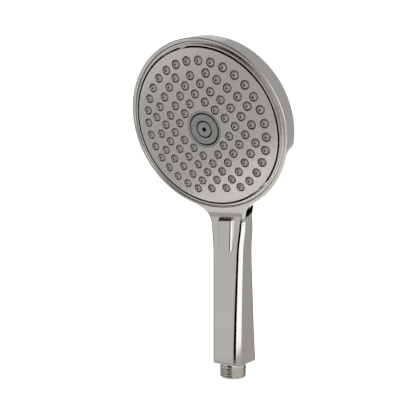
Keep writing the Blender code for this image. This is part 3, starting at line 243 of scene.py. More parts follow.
def fill_inputs(modifier: bpy.types.Modifier, values: dict) -> None:
    """Set the inputs of a Geometry Nodes modifier by their identifiers.

    Args:
        modifier: the modifier.
        values: value of each input, by name.
    """
    for item in modifier.node_group.interface.items_tree:
        if item.in_out == "INPUT" and item.name in values:
            modifier[item.identifier] = values[item.name]


def flatten_normals(obj: bpy.types.Object) -> bpy.types.Object:
    """Let large faces set the shading at their edges, so flats stay flat.

    Args:
        obj: shaded piece.

    Returns:
        The piece as a plain mesh.
    """
    modifier = obj.modifiers.new("Normals", "WEIGHTED_NORMAL")
    modifier.mode = "FACE_AREA_WITH_ANGLE"
    modifier.weight = 100
    modifier.keep_sharp = True
    return baked(obj)


def turned(name: str, profile: list[tuple[float, float]], steps: int, place: Matrix) -> bpy.types.Object:
    """Turn a profile about the local Z axis into a closed solid.

    Args:
        name: name of the piece.
        profile: (radius, height) points, closed unless it starts and ends on the axis.
        steps: number of segments round the axis.
        place: matrix from the turned frame to the row frame.

    Returns:
        The new object.
    """
    shape = bmesh.new()
    closed = profile[0][0] > 1e-9
    rings = []
    for radius, height in profile:
        if radius < 1e-9:
            rings.append([shape.verts.new((0.0, 0.0, height))] * steps)
            continue
        ring = []
        for i in range(steps):
            turn = 2 * math.pi * i / steps
            ring.append(shape.verts.new((radius * math.cos(turn), radius * math.sin(turn), height)))
        rings.append(ring)
    pairs = list(zip(rings, rings[1:]))
    if closed:
        pairs.append((rings[-1], rings[0]))
    for upper, lower in pairs:
        for i in range(steps):
            j = (i + 1) % steps
            corners = []
            for vert in (upper[i], upper[j], lower[j], lower[i]):
                if vert not in corners:
                    corners.append(vert)
            if len(corners) > 2:
                shape.faces.new(corners)
    bmesh.ops.recalc_face_normals(shape, faces=shape.faces)
    return from_shape(name, shape, place)


def rounded(profile: list[tuple[float, float, float]], steps: int = 4) -> list[tuple[float, float]]:
    """Round the corners of a closed profile.

    Args:
        profile: (radius, height, corner radius) points.
        steps: segments in each rounded corner.

    Returns:
        (radius, height) points.
    """
    points = []
    count = len(profile)
    for i, (x, y, corner) in enumerate(profile):
        here = Vector((x, y))
        before = Vector(profile[i - 1][:2]) - here
        after = Vector(profile[(i + 1) % count][:2]) - here
        if corner <= 0 or before.length < 1e-9 or after.length < 1e-9:
            points.append((x, y))
            continue
        half = before.angle(after) / 2
        reach = min(corner / max(math.tan(half), 1e-6), before.length * 0.49, after.length * 0.49)
        start = here + before.normalized() * reach
        end = here + after.normalized() * reach
        for k in range(steps + 1):
            share = k / steps
            point = start * (1 - share) ** 2 + here * 2 * share * (1 - share) + end * share**2
            points.append((point.x, point.y))
    return points


def cut(obj: bpy.types.Object, cutters: list[bpy.types.Object], operation: str = "DIFFERENCE") -> bpy.types.Object:
    """Cut or join an object with others and drop them.

    Args:
        obj: piece to work on.
        cutters: closed solids.
        operation: Boolean operation.

    Returns:
        The worked piece as a plain mesh.
    """
    for cutter in cutters:
        modifier = obj.modifiers.new("Cut", "BOOLEAN")
        modifier.operation = operation
        modifier.solver = "EXACT"
        modifier.object = cutter
    done = baked(obj)
    for cutter in cutters:
        bpy.data.objects.remove(cutter)
    return done


def upright_prism(name: str, outline: list[tuple[float, float]], front: float, back: float) -> bpy.types.Object:
    """Extrude an X-Z outline along Y.

    Args:
        name: name of the solid.
        outline: (x, z) corners in order.
        front: lower Y.
        back: higher Y.

    Returns:
        The new object.
    """
    shape = bmesh.new()
    near = [shape.verts.new((x, front, z)) for x, z in outline]
    far = [shape.verts.new((x, back, z)) for x, z in outline]
    shape.faces.new(near)
    shape.faces.new(list(reversed(far)))
    for i in range(len(outline)):
        j = (i + 1) % len(outline)
        shape.faces.new((near[i], near[j], far[j], far[i]))
    bmesh.ops.recalc_face_normals(shape, faces=shape.faces)
    return from_shape(name, shape)


def block(name: str, low: tuple[float, float, float], high: tuple[float, float, float]) -> bpy.types.Object:
    """Make a box between two corners.

    Args:
        name: name of the solid.
        low: lowest corner.
        high: highest corner.

    Returns:
        The new object.
    """
    outline = [(low[0], low[2]), (high[0], low[2]), (high[0], high[2]), (low[0], high[2])]
    return upright_prism(name, outline, low[1], high[1])


def rod_between(name: str, start: Vector, end: Vector, radius: float, sides: int = 48) -> bpy.types.Object:
    """Make a cylinder between two points.

    Args:
        name: name of the solid.
        start: centre of one end.
        end: centre of the other.
        radius: radius.
        sides: segments round it.

    Returns:
        The new object.
    """
    along = Vector(end) - Vector(start)
    place = Matrix.Translation((Vector(start) + Vector(end)) / 2)
    place = place @ along.to_track_quat("Z", "Y").to_matrix().to_4x4()
    half = along.length / 2
    return turned(name, [(0.0, half), (radius, half), (radius, -half), (0.0, -half)], sides, place)


# --- Finishes -----------------------------------------------------------------
def shift(code: str, amount: int) -> str:
    """Make a colour lighter or darker.

    Args:
        code: hexadecimal colour.
        amount: steps of 1/255 to add to each part.

    Returns:
        The changed colour.
    """
    parts = [min(255, max(0, int(code[i : i + 2], 16) + amount)) for i in (0, 2, 4)]
    return "".join(f"{part:02x}" for part in parts)


def noise(
    tree: bpy.types.NodeTree, place: bpy.types.NodeSocket, scale: float, detail: float, rough: float
) -> bpy.types.NodeSocket:
    """Add a noise texture.

    Args:
        tree: tree to add to.
        place: coordinates.
        scale: patches per metre.
        detail: octaves.
        rough: weight of the finer octaves.

    Returns:
        Its value.
    """
    made = add_node(tree, "ShaderNodeTexNoise", None, Vector=place, Scale=scale, Detail=detail, Roughness=rough)
    return made.outputs["Fac"]


@dataclass(frozen=True)
class Finish:
    """What every finish shares.

    Attributes:
        name: name of the material.
        colour: mean colour.
        roughness: mean roughness.
    """

    name: str
    colour: str
    roughness: float

    def start(self, metal: bool) -> tuple[bpy.types.Material, bpy.types.Node, bpy.types.NodeSocket]:
        """Start the material.

        Args:
            metal: whether it is bare metal.

        Returns:
            The material, its shader and the object's own coordinates.
        """
        made = bpy.data.materials.new(self.name)
        made.use_nodes = True
        shader = made.node_tree.nodes["Principled BSDF"]
        shader.inputs["Metallic"].default_value = float(metal)
        return made, shader, add_node(made.node_tree, "ShaderNodeTexCoord").outputs["Object"]

    def tint(self, shader: bpy.types.Node, share: bpy.types.NodeSocket, lighter: int, darker: int) -> None:
        """Let the colour wander between a lighter and a darker one.

        Args:
            shader: shader of the material.
            share: place between the two.
            lighter: steps of 1/255 up.
            darker: steps of 1/255 down.
        """
        tree = shader.id_data
        ends = {6: srgb(shift(self.colour, lighter)), 7: srgb(shift(self.colour, -darker))}
        mixed = add_node(tree, "ShaderNodeMix", {"data_type": "RGBA", 0: share, **ends})
        tree.links.new(mixed.outputs[2], shader.inputs["Base Color"])

    def soften(self, shader: bpy.types.Node, share: bpy.types.NodeSocket, less: float, more: float) -> None:
        """Let the roughness wander about its mean.

        Args:
            shader: shader of the material.
            share: place between the ends.
            less: how far it goes below the mean.
            more: how far it goes above it.
        """
        tree = shader.id_data
        ranged = add_node(
            tree, "ShaderNodeMapRange", None, Value=share, To_Min=self.roughness - less, To_Max=self.roughness + more
        )
        tree.links.new(ranged.outputs["Result"], shader.inputs["Roughness"])

    def bump(self, shader: bpy.types.Node, height: bpy.types.NodeSocket, strength: float, depth: float) -> None:
        """Raise the surface by a pattern.

        Args:
            shader: shader of the material.
            height: the pattern.
            strength: share of the effect.
            depth: height of the pattern.
        """
        tree = shader.id_data
        made = add_node(tree, "ShaderNodeBump", None, Height=height, Strength=strength, Distance=depth)
        tree.links.new(made.outputs["Normal"], shader.inputs["Normal"])


@dataclass(frozen=True)
class SatinNickel(Finish):
    """Nickel plating on moulded plastic, wiped with a fine satin pad after plating.

    Attributes:
        ripple: height of the faint ripple that the plastic has under the plating.
    """

    colour: str = "e6e2de"
    roughness: float = 0.075
    ripple: float = 0.002 * MM

    def make(self) -> bpy.types.Material:
        """Build the material.

        Returns:
            The finished material.
        """
        made, shader, place = self.start(True)
        tree = made.node_tree
        smear = noise(tree, place, 28.0, 3.0, 0.6)
        fine = noise(tree, place, 2600.0, 2.0, 0.7)
        self.tint(shader, smear, 0, 7)
        soft = add_node(
            tree, "ShaderNodeMapRange", None, Value=smear, From_Min=0.3, From_Max=0.7,
            To_Min=self.roughness - 0.012, To_Max=self.roughness + 0.012,
        )
        grain = add_node(
            tree, "ShaderNodeMath", {"operation": "MULTIPLY_ADD", 0: fine, 1: 0.03, 2: soft.outputs["Result"]}
        )
        tree.links.new(grain.outputs[0], shader.inputs["Roughness"])
        self.bump(shader, noise(tree, place, 95.0, 1.0, 0.4), 0.35, self.ripple)
        return made


@dataclass(frozen=True)
class SoftSilicone(Finish):
    """Liquid silicone moulded in a spark-eroded tool, which leaves a fine matt grain."""

    colour: str = "9e9d9b"
    roughness: float = 0.42

    def make(self) -> bpy.types.Material:
        """Build the material.

        Returns:
            The finished material.
        """
        made, shader, place = self.start(False)
        shader.inputs["Specular IOR Level"].default_value = 0.4
        cloud = noise(made.node_tree, place, 160.0, 3.0, 0.6)
        grain = noise(made.node_tree, place, 4200.0, 2.0, 0.6)
        self.tint(shader, cloud, 5, 6)
        self.soften(shader, grain, 0.06, 0.08)
        self.bump(shader, grain, 0.3, 0.02 * MM)
        return made


@dataclass(frozen=True)
class MouldedPlastic(Finish):
    """Injection-moulded plastic with a light texture from the tool."""

    roughness: float = 0.42

    def make(self) -> bpy.types.Material:
        """Build the material.

        Returns:
            The finished material.
        """
        made, shader, place = self.start(False)
        flow = noise(made.node_tree, place, 40.0, 4.0, 0.6)
        pits = noise(made.node_tree, place, 3000.0, 1.0, 0.5)
        self.tint(shader, flow, 4, 5)
        self.soften(shader, flow, 0.05, 0.07)
        self.bump(shader, pits, 0.25, 0.015 * MM)
        return made


@dataclass(frozen=True)
class DrawnSteel(Finish):
    """Stainless steel drawn through a die, with fine lines from the drawing."""

    colour: str = "c9c9ca"
    roughness: float = 0.28

    def make(self) -> bpy.types.Material:
        """Build the material.

        Returns:
            The finished material.
        """
        made, shader, place = self.start(True)
        tree = made.node_tree
        along = add_node(tree, "ShaderNodeMapping", None, Vector=place, Scale=(300.0, 2500.0, 2500.0))
        lines = noise(tree, along.outputs["Vector"], 1.0, 3.0, 0.5)
        self.tint(shader, lines, 0, 16)
        self.soften(shader, lines, 0.08, 0.12)
        self.bump(shader, lines, 0.2, 0.01 * MM)
        return made


# --- Frame of the head --------------------------------------------------------
@dataclass(frozen=True)
class HeadFrame:
    """Place and sizes that every piece of the head shares.

    Attributes:
        tilt: lean of the spray face towards the floor.
        radius: radius of the rim.
        foot_front: Y of the lowest point of the spray face plane's rim.
        foot_height: Z of that point.
        depth: depth of the head at its rim.
    """

    tilt: float = math.radians(25.3)
    radius: float = 66.5 * MM
    foot_front: float = -12.3 * MM
    foot_height: float = 132.5 * MM
    depth: float = 18.4 * MM

    @property
    def centre(self) -> Vector:
        """Centre of the spray face in the row frame."""
        return Vector((
            0.0,
            self.foot_front - self.radius * math.sin(self.tilt),
            self.foot_height + self.radius * math.cos(self.tilt),
        ))

    @property
    def matrix(self) -> Matrix:
        """Matrix from the head's frame (Z out of the face) to the row frame."""
        return Matrix.Translation(self.centre) @ Matrix.Rotation(math.pi / 2 + self.tilt, 4, "X")

    def side(self, up: float, depth: float) -> tuple[float, float]:
        """Give a point of the head's middle plane.

        Args:
            up: distance up the face from its centre.
            depth: distance behind the face.

        Returns:
            (y, z) in the row frame.
        """
        point = self.matrix @ Vector((0.0, up, -depth))
        return (point.y, point.z)


HEAD = HeadFrame()
# Place of the head's centre line, in millimetres, on the scale that runs up the body.
HEAD_PLACE = 200.0


@dataclass(frozen=True)
class ButtonShape:
    """Outline of the thumb button, shared by the button and its window.

    Attributes:
        bottom: Z of its lower end.
        top: Z where its upper ramp starts.
        half_bottom: half width at the lower end.
        half_top: half width at the upper end.
        ramp: height of the ramp above the top.
        arch: rise of the ramp's foot line.
        front_top: Y of the face at the top.
        front_bottom: Y of the face at the lower end.
        inner: Y of the back of the cap.
        hinge_y: Y of the hinge.
        hinge_z: Z of the hinge.
        pin_radius: radius of the hinge pin's holes.
    """

    bottom: float = 101.0 * MM
    top: float = 124.3 * MM
    half_bottom: float = 5.5 * MM
    half_top: float = 6.9 * MM
    ramp: float = 3.2 * MM
    arch: float = 1.2 * MM
    front_top: float = -12.8 * MM
    front_bottom: float = -12.0 * MM
    inner: float = -7.0 * MM
    hinge_y: float = -5.4 * MM
    hinge_z: float = 97.6 * MM
    pin_radius: float = 1.2 * MM

    def outline(self, spare: float, steps: int = 24) -> list[tuple[float, float]]:
        """Give the outline, X against Z.

        Args:
            spare: clearance added all round.
            steps: segments of the arch.

        Returns:
            (x, z) corners.
        """
        crown = self.top + self.ramp - self.arch
        low, high = self.half_bottom + spare, self.half_top + spare
        points = [(-low, self.bottom - spare), (low, self.bottom - spare)]
        for i in range(steps + 1):
            turn = math.pi * i / steps
            reach = max(1 - math.cos(turn) ** 4, 0.0) ** 0.5
            points.append((high * math.cos(turn), crown + spare + self.arch * reach))
        return points


BUTTON = ButtonShape()


# --- Body ---------------------------------------------------------------------
@dataclass
class BodyShell:
    """Head cup, neck and handle, one plated moulding.

    Attributes:
        handle_bottom: Z of the handle's lower end.
        front_low: Y of the front face at the lower end.
        front_high: Y of the front face at the neck.
        back_low: Y of the back face at the lower end.
        half_width: half width of the handle at the lower end.
        neck: Z where the handle's taper ends.
        fillet: radius of the flare from the handle into the rim.
        rim_taper: how much the rim narrows towards the back.
        crown: rise of the back face at its centre.
        wall: thickness of the wall.
        cup_radius: radius of the cup that takes the spray face.
        belly: how much the half width grows up to the neck.
        shoulder: how much more it grows beside the button.
        shoulder_low: Z where that starts.
        shoulder_high: Z where that ends.
        corner_low: rounding of the handle's corners at the lower end.
        corner_loss: how much smaller it is at the neck.
        rim_front_round: rounding of the rim's front edge.
        rim_back_round: rounding of the rim's back edge.
        head_start: place up the body where the handle starts to become head.
        head_end: place where it is all head.
        window_gap: clearance of the button's window.
        inlet_bore: radius of the bore for the inlet.
        pin_cover: wall left over the ends of the hinge pin.
    """

    handle_bottom: float = 11.6 * MM
    front_low: float = -12.3 * MM
    front_high: float = -9.6 * MM
    back_low: float = 16.7 * MM
    half_width: float = 12.7 * MM
    neck: float = 118.6 * MM
    fillet: float = 20.0 * MM
    rim_taper: float = 1.5 * MM
    crown: float = 1.6 * MM
    wall: float = 2.0 * MM
    cup_radius: float = 63.6 * MM
    belly: float = 1.3 * MM
    shoulder: float = 1.4 * MM
    shoulder_low: float = 100 * MM
    shoulder_high: float = 123 * MM
    corner_low: float = 4.6 * MM
    corner_loss: float = 1.3 * MM
    rim_front_round: float = 0.8 * MM
    rim_back_round: float = 1.8 * MM
    head_start: float = 118 * MM
    head_end: float = 143 * MM
    window_gap: float = 0.07 * MM
    inlet_bore: float = 9.3 * MM
    pin_cover: float = 1.1 * MM

    def handle_half(self, height: float) -> float:
        """Give half the handle's width.

        Args:
            height: Z on the handle.

        Returns:
            Half width before the flare.
        """
        share = (height - self.handle_bottom) / (self.neck - self.handle_bottom)
        growth = self.belly * min(share, 1.05) ** 2
        return self.half_width + growth + self.shoulder * smoothstep(self.shoulder_low, self.shoulder_high, height)

    def half_outline(self, up: float, height: float, inset: float) -> float:
        """Give the half width of the outline, seen square to the spray face.

        Args:
            up: place along the face's upward axis, below the centre.
            height: Z of the same place.
            inset: distance inwards from the outline.

        Returns:
            Half width there.
        """
        radius = HEAD.radius
        line = self.handle_half(126 * MM)
        side = line + self.fillet
        drop = math.sqrt((radius + self.fillet) ** 2 - side**2)
        touch = drop * (radius - inset) / (radius + self.fillet)
        if up >= -touch:
            return math.sqrt(max((radius - inset) ** 2 - up**2, 0.0))
        if up >= -drop:
            reach = (self.fillet + inset) ** 2 - (up + drop) ** 2
            return side - math.sqrt(max(reach, 0.0))
        return self.handle_half(height) - inset

    def back_depth(self, up: float) -> float:
        """Give the depth of the back surface where the neck joins the head.

        Args:
            up: place along the face's upward axis.

        Returns:
            Depth behind the spray face.
        """
        return HEAD.depth - 1.5 * MM * (1 - smoothstep(-68 * MM, -54 * MM, up))

    def key_points(self) -> tuple[list[float], list[tuple[float, float]], list[tuple[float, float]]]:
        """List the places that the front and back lines pass through.

        Returns:
            Parameters, front points and back points.
        """
        places, fronts, backs = [], [], []
        for i in range(11):
            height = self.handle_bottom + (110 * MM - self.handle_bottom) * i / 10
            share = (height - self.handle_bottom) / (self.neck - self.handle_bottom)
            front = self.front_low + (self.front_high - self.front_low) * share**1.5
            back = self.back_low - 8.9 * MM * share - 0.5 * MM * math.sin(math.pi * share)
            places.append(height)
            fronts.append((front, height))
            backs.append((back, height))
        bend = (
            (115.0, (-9.62, 115.0), (7.95, 115.4)),
            (120.0, (-9.57, 119.9), (7.4, 121.0)),
            (124.5, (-9.75, 124.1), (6.55, 126.6)),
            (128.5, (-10.35, 128.0), (5.45, 131.8)),
            (131.5, (-11.35, 131.0), (4.5, 135.4)),
        )
        for place, front, back in bend:
            places.append(place * MM)
            fronts.append((front[0] * MM, front[1] * MM))
            backs.append((back[0] * MM, back[1] * MM))
        ups = [-64.5, -61, -57.5, -54, -50, -40, -20, 0, 20]
        for up in ups:
            places.append((HEAD_PLACE + up) * MM)
            fronts.append(HEAD.side(up * MM, 0.3 * MM))
            backs.append(HEAD.side(up * MM, self.back_depth(up * MM)))
        return places, fronts, backs

    def spline(self, places: list[float], points: list[tuple[float, float]], at: float) -> Vector:
        """Run a smooth curve through points.

        Args:
            places: increasing parameters.
            points: their points.
            at: parameter to read.

        Returns:
            The point there.
        """
        k = max(1, min(len(places) - 3, int(np.searchsorted(places, at)) - 1))
        p0, p1, p2, p3 = (Vector(points[k + i]) for i in (-1, 0, 1, 2))
        t0, t1, t2, t3 = (places[k + i] for i in (-1, 0, 1, 2))
        m1 = (p2 - p0) / (t2 - t0) * (t2 - t1)
        m2 = (p3 - p1) / (t3 - t1) * (t2 - t1)
        share = (at - t1) / (t2 - t1)
        s2, s3 = share * share, share * share * share
        return (
            p1 * (2 * s3 - 3 * s2 + 1) + m1 * (s3 - 2 * s2 + share)
            + p2 * (-2 * s3 + 3 * s2) + m2 * (s3 - s2)
        )

    def section(self, at: float, keys: tuple, inset: float, flats: int, corners: int) -> list[Vector]:
        """Give half of a cross-section, from the middle of the front to that of the back.

        Args:
            at: parameter along the body.
            keys: output of key_points.
            inset: distance inwards, for the hollow.
            flats: segments across each face.
            corners: segments round each corner.

        Returns:
            Points with X to the right.
        """
        places, fronts, backs = keys
        front, back = self.spline(places, fronts, at), self.spline(places, backs, at)
        along = (back - front).normalized()
        thick = (back - front).length
        middle = front + (back - front) * 0.2
        in_head = smoothstep(self.head_start, self.head_end, at)
        up_axis = Vector((-math.sin(HEAD.tilt), math.cos(HEAD.tilt)))
        up = (middle - Vector((HEAD.centre.y, HEAD.centre.z))).dot(up_axis)
        share = min(1.0, (at - self.handle_bottom) / (self.neck - self.handle_bottom))
        base = self.corner_low - self.corner_loss * share
        front_round = max(base * (1 - in_head) + self.rim_front_round * in_head - inset, 0.4 * MM)
        back_round = max(base * (1 - in_head) + self.rim_back_round * in_head - inset, 0.4 * MM)
        taper = self.rim_taper * in_head
        points = []

        def place(edge: float, deep: float) -> Vector:
            """Put a point at an inset from the outline and a depth from the front."""
            x = self.half_outline(up, middle.y, edge + inset)
            spot = front + along * deep
            return Vector((x, spot.x, spot.y))

        start = place(front_round, inset)
        for i in range(flats):
            points.append(Vector((start.x * i / flats, start.y, start.z)))
        for i in range(corners + 1):
            turn = math.pi / 2 * i / corners
            points.append(place(front_round * (1 - math.sin(turn)), inset + front_round * (1 - math.cos(turn))))
        low, high = inset + front_round, thick - inset - back_round
        walls = 6
        for i in range(1, walls):
            share = i / walls
            points.append(place(taper * share, low + (high - low) * share))
        for i in range(corners + 1):
            turn = math.pi / 2 * i / corners
            points.append(place(taper + back_round * (1 - math.cos(turn)), high + back_round * math.sin(turn)))
        end = points.pop()
        for i in range(flats + 1):
            share = 1 - i / flats
            x = end.x * share
            reach = min(1.0, math.hypot(x, up) / (HEAD.radius - 3.3 * MM))
            rise = self.crown * (1 - reach**2) * in_head if up > -HEAD.radius else 0.0
            points.append(Vector((x, end.y + along.x * rise, end.z + along.y * rise)))
        return points

    def lower(self, stations: list[float], inset: float, flats: int, corners: int, feet: list) -> bmesh.types.BMesh:
        """Skin the body from the inlet up to the head's centre line.

        Args:
            stations: parameters of the rows.
            inset: distance inwards.
            flats: segments across each face.
            corners: segments round each corner.
            feet: (drop, inset) rows under the first station that round its end.

        Returns:
            The skin, open at its last row.
        """
        keys = self.key_points()
        shape = bmesh.new()
        rows = []
        halves = []
        for drop, extra in feet:
            half = self.section(stations[0], keys, inset + extra, flats, corners)
            halves.append([point - Vector((0.0, 0.0, drop)) for point in half])
        halves += [self.section(at, keys, inset, flats, corners) for at in stations]
        for half in halves:
            mirrored = [Vector((-point.x, point.y, point.z)) for point in half[-2:0:-1]]
            rows.append([shape.verts.new(point) for point in half + mirrored])
        count = len(rows[0])
        for lower, upper in zip(rows, rows[1:]):
            for i in range(count):
                j = (i + 1) % count
                shape.faces.new((lower[i], lower[j], upper[j], upper[i]))
        shape.faces.new(rows[0])
        return shape

    def outer(self) -> bpy.types.Object:
        """Build the outside of the body as one closed skin.

        Returns:
            The solid body.
        """
        stations = list(np.linspace(self.handle_bottom + 0.5 * MM, 114 * MM, 44))
        stations += list(np.linspace(114.5 * MM, 137.4 * MM, 56))
        steps = 64
        lowest = math.asin(-(HEAD_PLACE * MM - 138 * MM) / HEAD.radius)
        for i in range(steps + 1):
            stations.append(HEAD_PLACE * MM + HEAD.radius * math.sin(lowest * (1 - i / steps)))
        feet = [(0.5 * MM, 0.5 * MM), (0.36 * MM, 0.17 * MM), (0.15 * MM, 0.03 * MM)]
        flats, corners = 14, 8
        shape = self.lower(stations, 0.0, flats, corners, feet)
        keys = self.key_points()
        half = self.section(HEAD_PLACE * MM, keys, 0.0, flats, corners)
        flat = [HEAD.matrix.inverted() @ point for point in half]
        fans = 128
        rows = []
        for i in range(fans + 1):
            turn = math.pi * i / fans
            row = []
            for point in flat:
                spot = Vector((point.x * math.cos(turn), point.x * math.sin(turn), point.z))
                row.append(shape.verts.new(HEAD.matrix @ spot))
            rows.append(row)
        for first, second in zip(rows, rows[1:]):
            for i in range(len(flat) - 1):
                shape.faces.new((first[i], first[i + 1], second[i + 1], second[i]))
        bmesh.ops.remove_doubles(shape, verts=shape.verts, dist=0.00002)
        bmesh.ops.dissolve_degenerate(shape, edges=shape.edges, dist=0.000001)
        bmesh.ops.recalc_face_normals(shape, faces=shape.faces)
        return from_shape("body_shell_visual", shape)

    def hollow(self) -> bpy.types.Object:
        """Build the space inside the handle and neck.

        Returns:
            A closed cutter.
        """
        stations = list(np.linspace(26 * MM, 114 * MM, 12)) + list(np.linspace(116 * MM, 137 * MM, 16))
        stations += [139 * MM, 141 * MM, 143 * MM, 145 * MM]
        shape = self.lower(stations, self.wall, 4, 4, [])
        edges = [edge for edge in shape.edges if edge.is_boundary]
        bmesh.ops.contextual_create(shape, geom=edges)
        bmesh.ops.recalc_face_normals(shape, faces=shape.faces)
        return from_shape("hollow", shape)

    def cup(self) -> bpy.types.Object:
        """Build the space behind the spray face.

        Returns:
            A closed cutter.
        """
        back = -(HEAD.depth - 2.2 * MM)
        profile = [
            (0.0, 1.0 * MM),
            (64.55 * MM, 1.0 * MM),
            (64.5 * MM, -0.28 * MM),
            (64.25 * MM, -0.34 * MM),
            (64.0 * MM, -0.5 * MM),
            (63.8 * MM, -0.78 * MM),
            (63.65 * MM, -1.15 * MM),
            (self.cup_radius, -2.0 * MM),
            (self.cup_radius, -6.5 * MM),
            (62.5 * MM, back + 1.0 * MM),
            (61.5 * MM, back),
            (39.0 * MM, back - 1.0 * MM),
            (0.0, back - 1.4 * MM),
        ]
        return turned("cup", profile, 256, HEAD.matrix)

    def build(self, nickel: bpy.types.Material) -> list[bpy.types.Object]:
        """Build the body and hang it on the frame.

        Args:
            nickel: finish of the body.

        Returns:
            The pieces made.
        """
        obj = self.outer()
        window = upright_prism(
            "window", BUTTON.outline(self.window_gap), BUTTON.front_top - 2 * MM, BUTTON.inner
        )
        bore = rod_between(
            "bore", Vector((0, 0, self.handle_bottom - MM)), Vector((0, 0, 27 * MM)), self.inlet_bore, 96
        )
        reach = self.handle_half(BUTTON.hinge_z) - self.pin_cover
        pin = rod_between(
            "pin", Vector((-reach, BUTTON.hinge_y, BUTTON.hinge_z)), Vector((reach, BUTTON.hinge_y, BUTTON.hinge_z)),
            BUTTON.pin_radius, 24,
        )
        obj = cut(obj, [self.hollow(), self.cup(), window, bore, pin])
        obj.name = "body_shell_visual"
        obj = flatten_normals(shade(obj, Shading.EDGES))
        obj.data.materials.clear()
        obj.data.materials.append(nickel)
        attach(obj, Body.HOUSING.value)
        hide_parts("body_shell")
        return [obj]


# --- Spray face ---------------------------------------------------------------
@dataclass
class NozzlePattern:
    """Places of the nozzles on the spray face.

    Attributes:
        pitch: spacing of the square lattice, which stands on its corner.
        shells: full square rings of the lattice.
        bowed_shell: ring whose four sides bow outwards and have no corners.
        bow: how far they bow.
        ring_radius: radius of the outermost ring.
        ring_count: places on it.
        flat_row: distance of the straight row at the bottom.
        flat_step: spacing in that row.
    """

    pitch: float = 9.55 * MM
    shells: tuple[int, ...] = (2, 3)
    bowed_shell: int = 4
    bow: float = 1.3 * MM
    ring_radius: float = 50.9 * MM
    ring_count: int = 32
    flat_row: float = 47.4 * MM
    flat_step: float = 13.4 * MM

    def lattice(self, row: float, step: float) -> tuple[float, float]:
        """Give a place of the lattice.

        Args:
            row: steps along one diagonal.
            step: steps along the other.

        Returns:
            (x, y) on the face.
        """
        half = self.pitch * math.sqrt(0.5)
        return ((row + step) * half, (row - step) * half)

    def places(self) -> list[tuple[float, float]]:
        """List every nozzle.

        Returns:
            (x, y) of each on the face.
        """
        found = []
        for shell in self.shells:
            for k in range(-shell, shell):
                for row, step in ((shell, k), (-shell, -k)):
                    found += [self.lattice(row, step), self.lattice(-step, row)]
        for k in range(-2, 3):
            far = self.bowed_shell + self.bow * (1 - (k / 2) ** 4) / self.pitch
            found += [self.lattice(far, k), self.lattice(-far, k), self.lattice(k, far), self.lattice(k, -far)]
        bottom = 3 * self.ring_count // 4
        for i in range(self.ring_count):
            if abs(i - bottom) > 1:
                turn = 2 * math.pi * i / self.ring_count
                found.append((self.ring_radius * math.cos(turn), self.ring_radius * math.sin(turn)))
        found += [(-self.flat_step / 2, -self.flat_row), (self.flat_step / 2, -self.flat_row)]
        return found


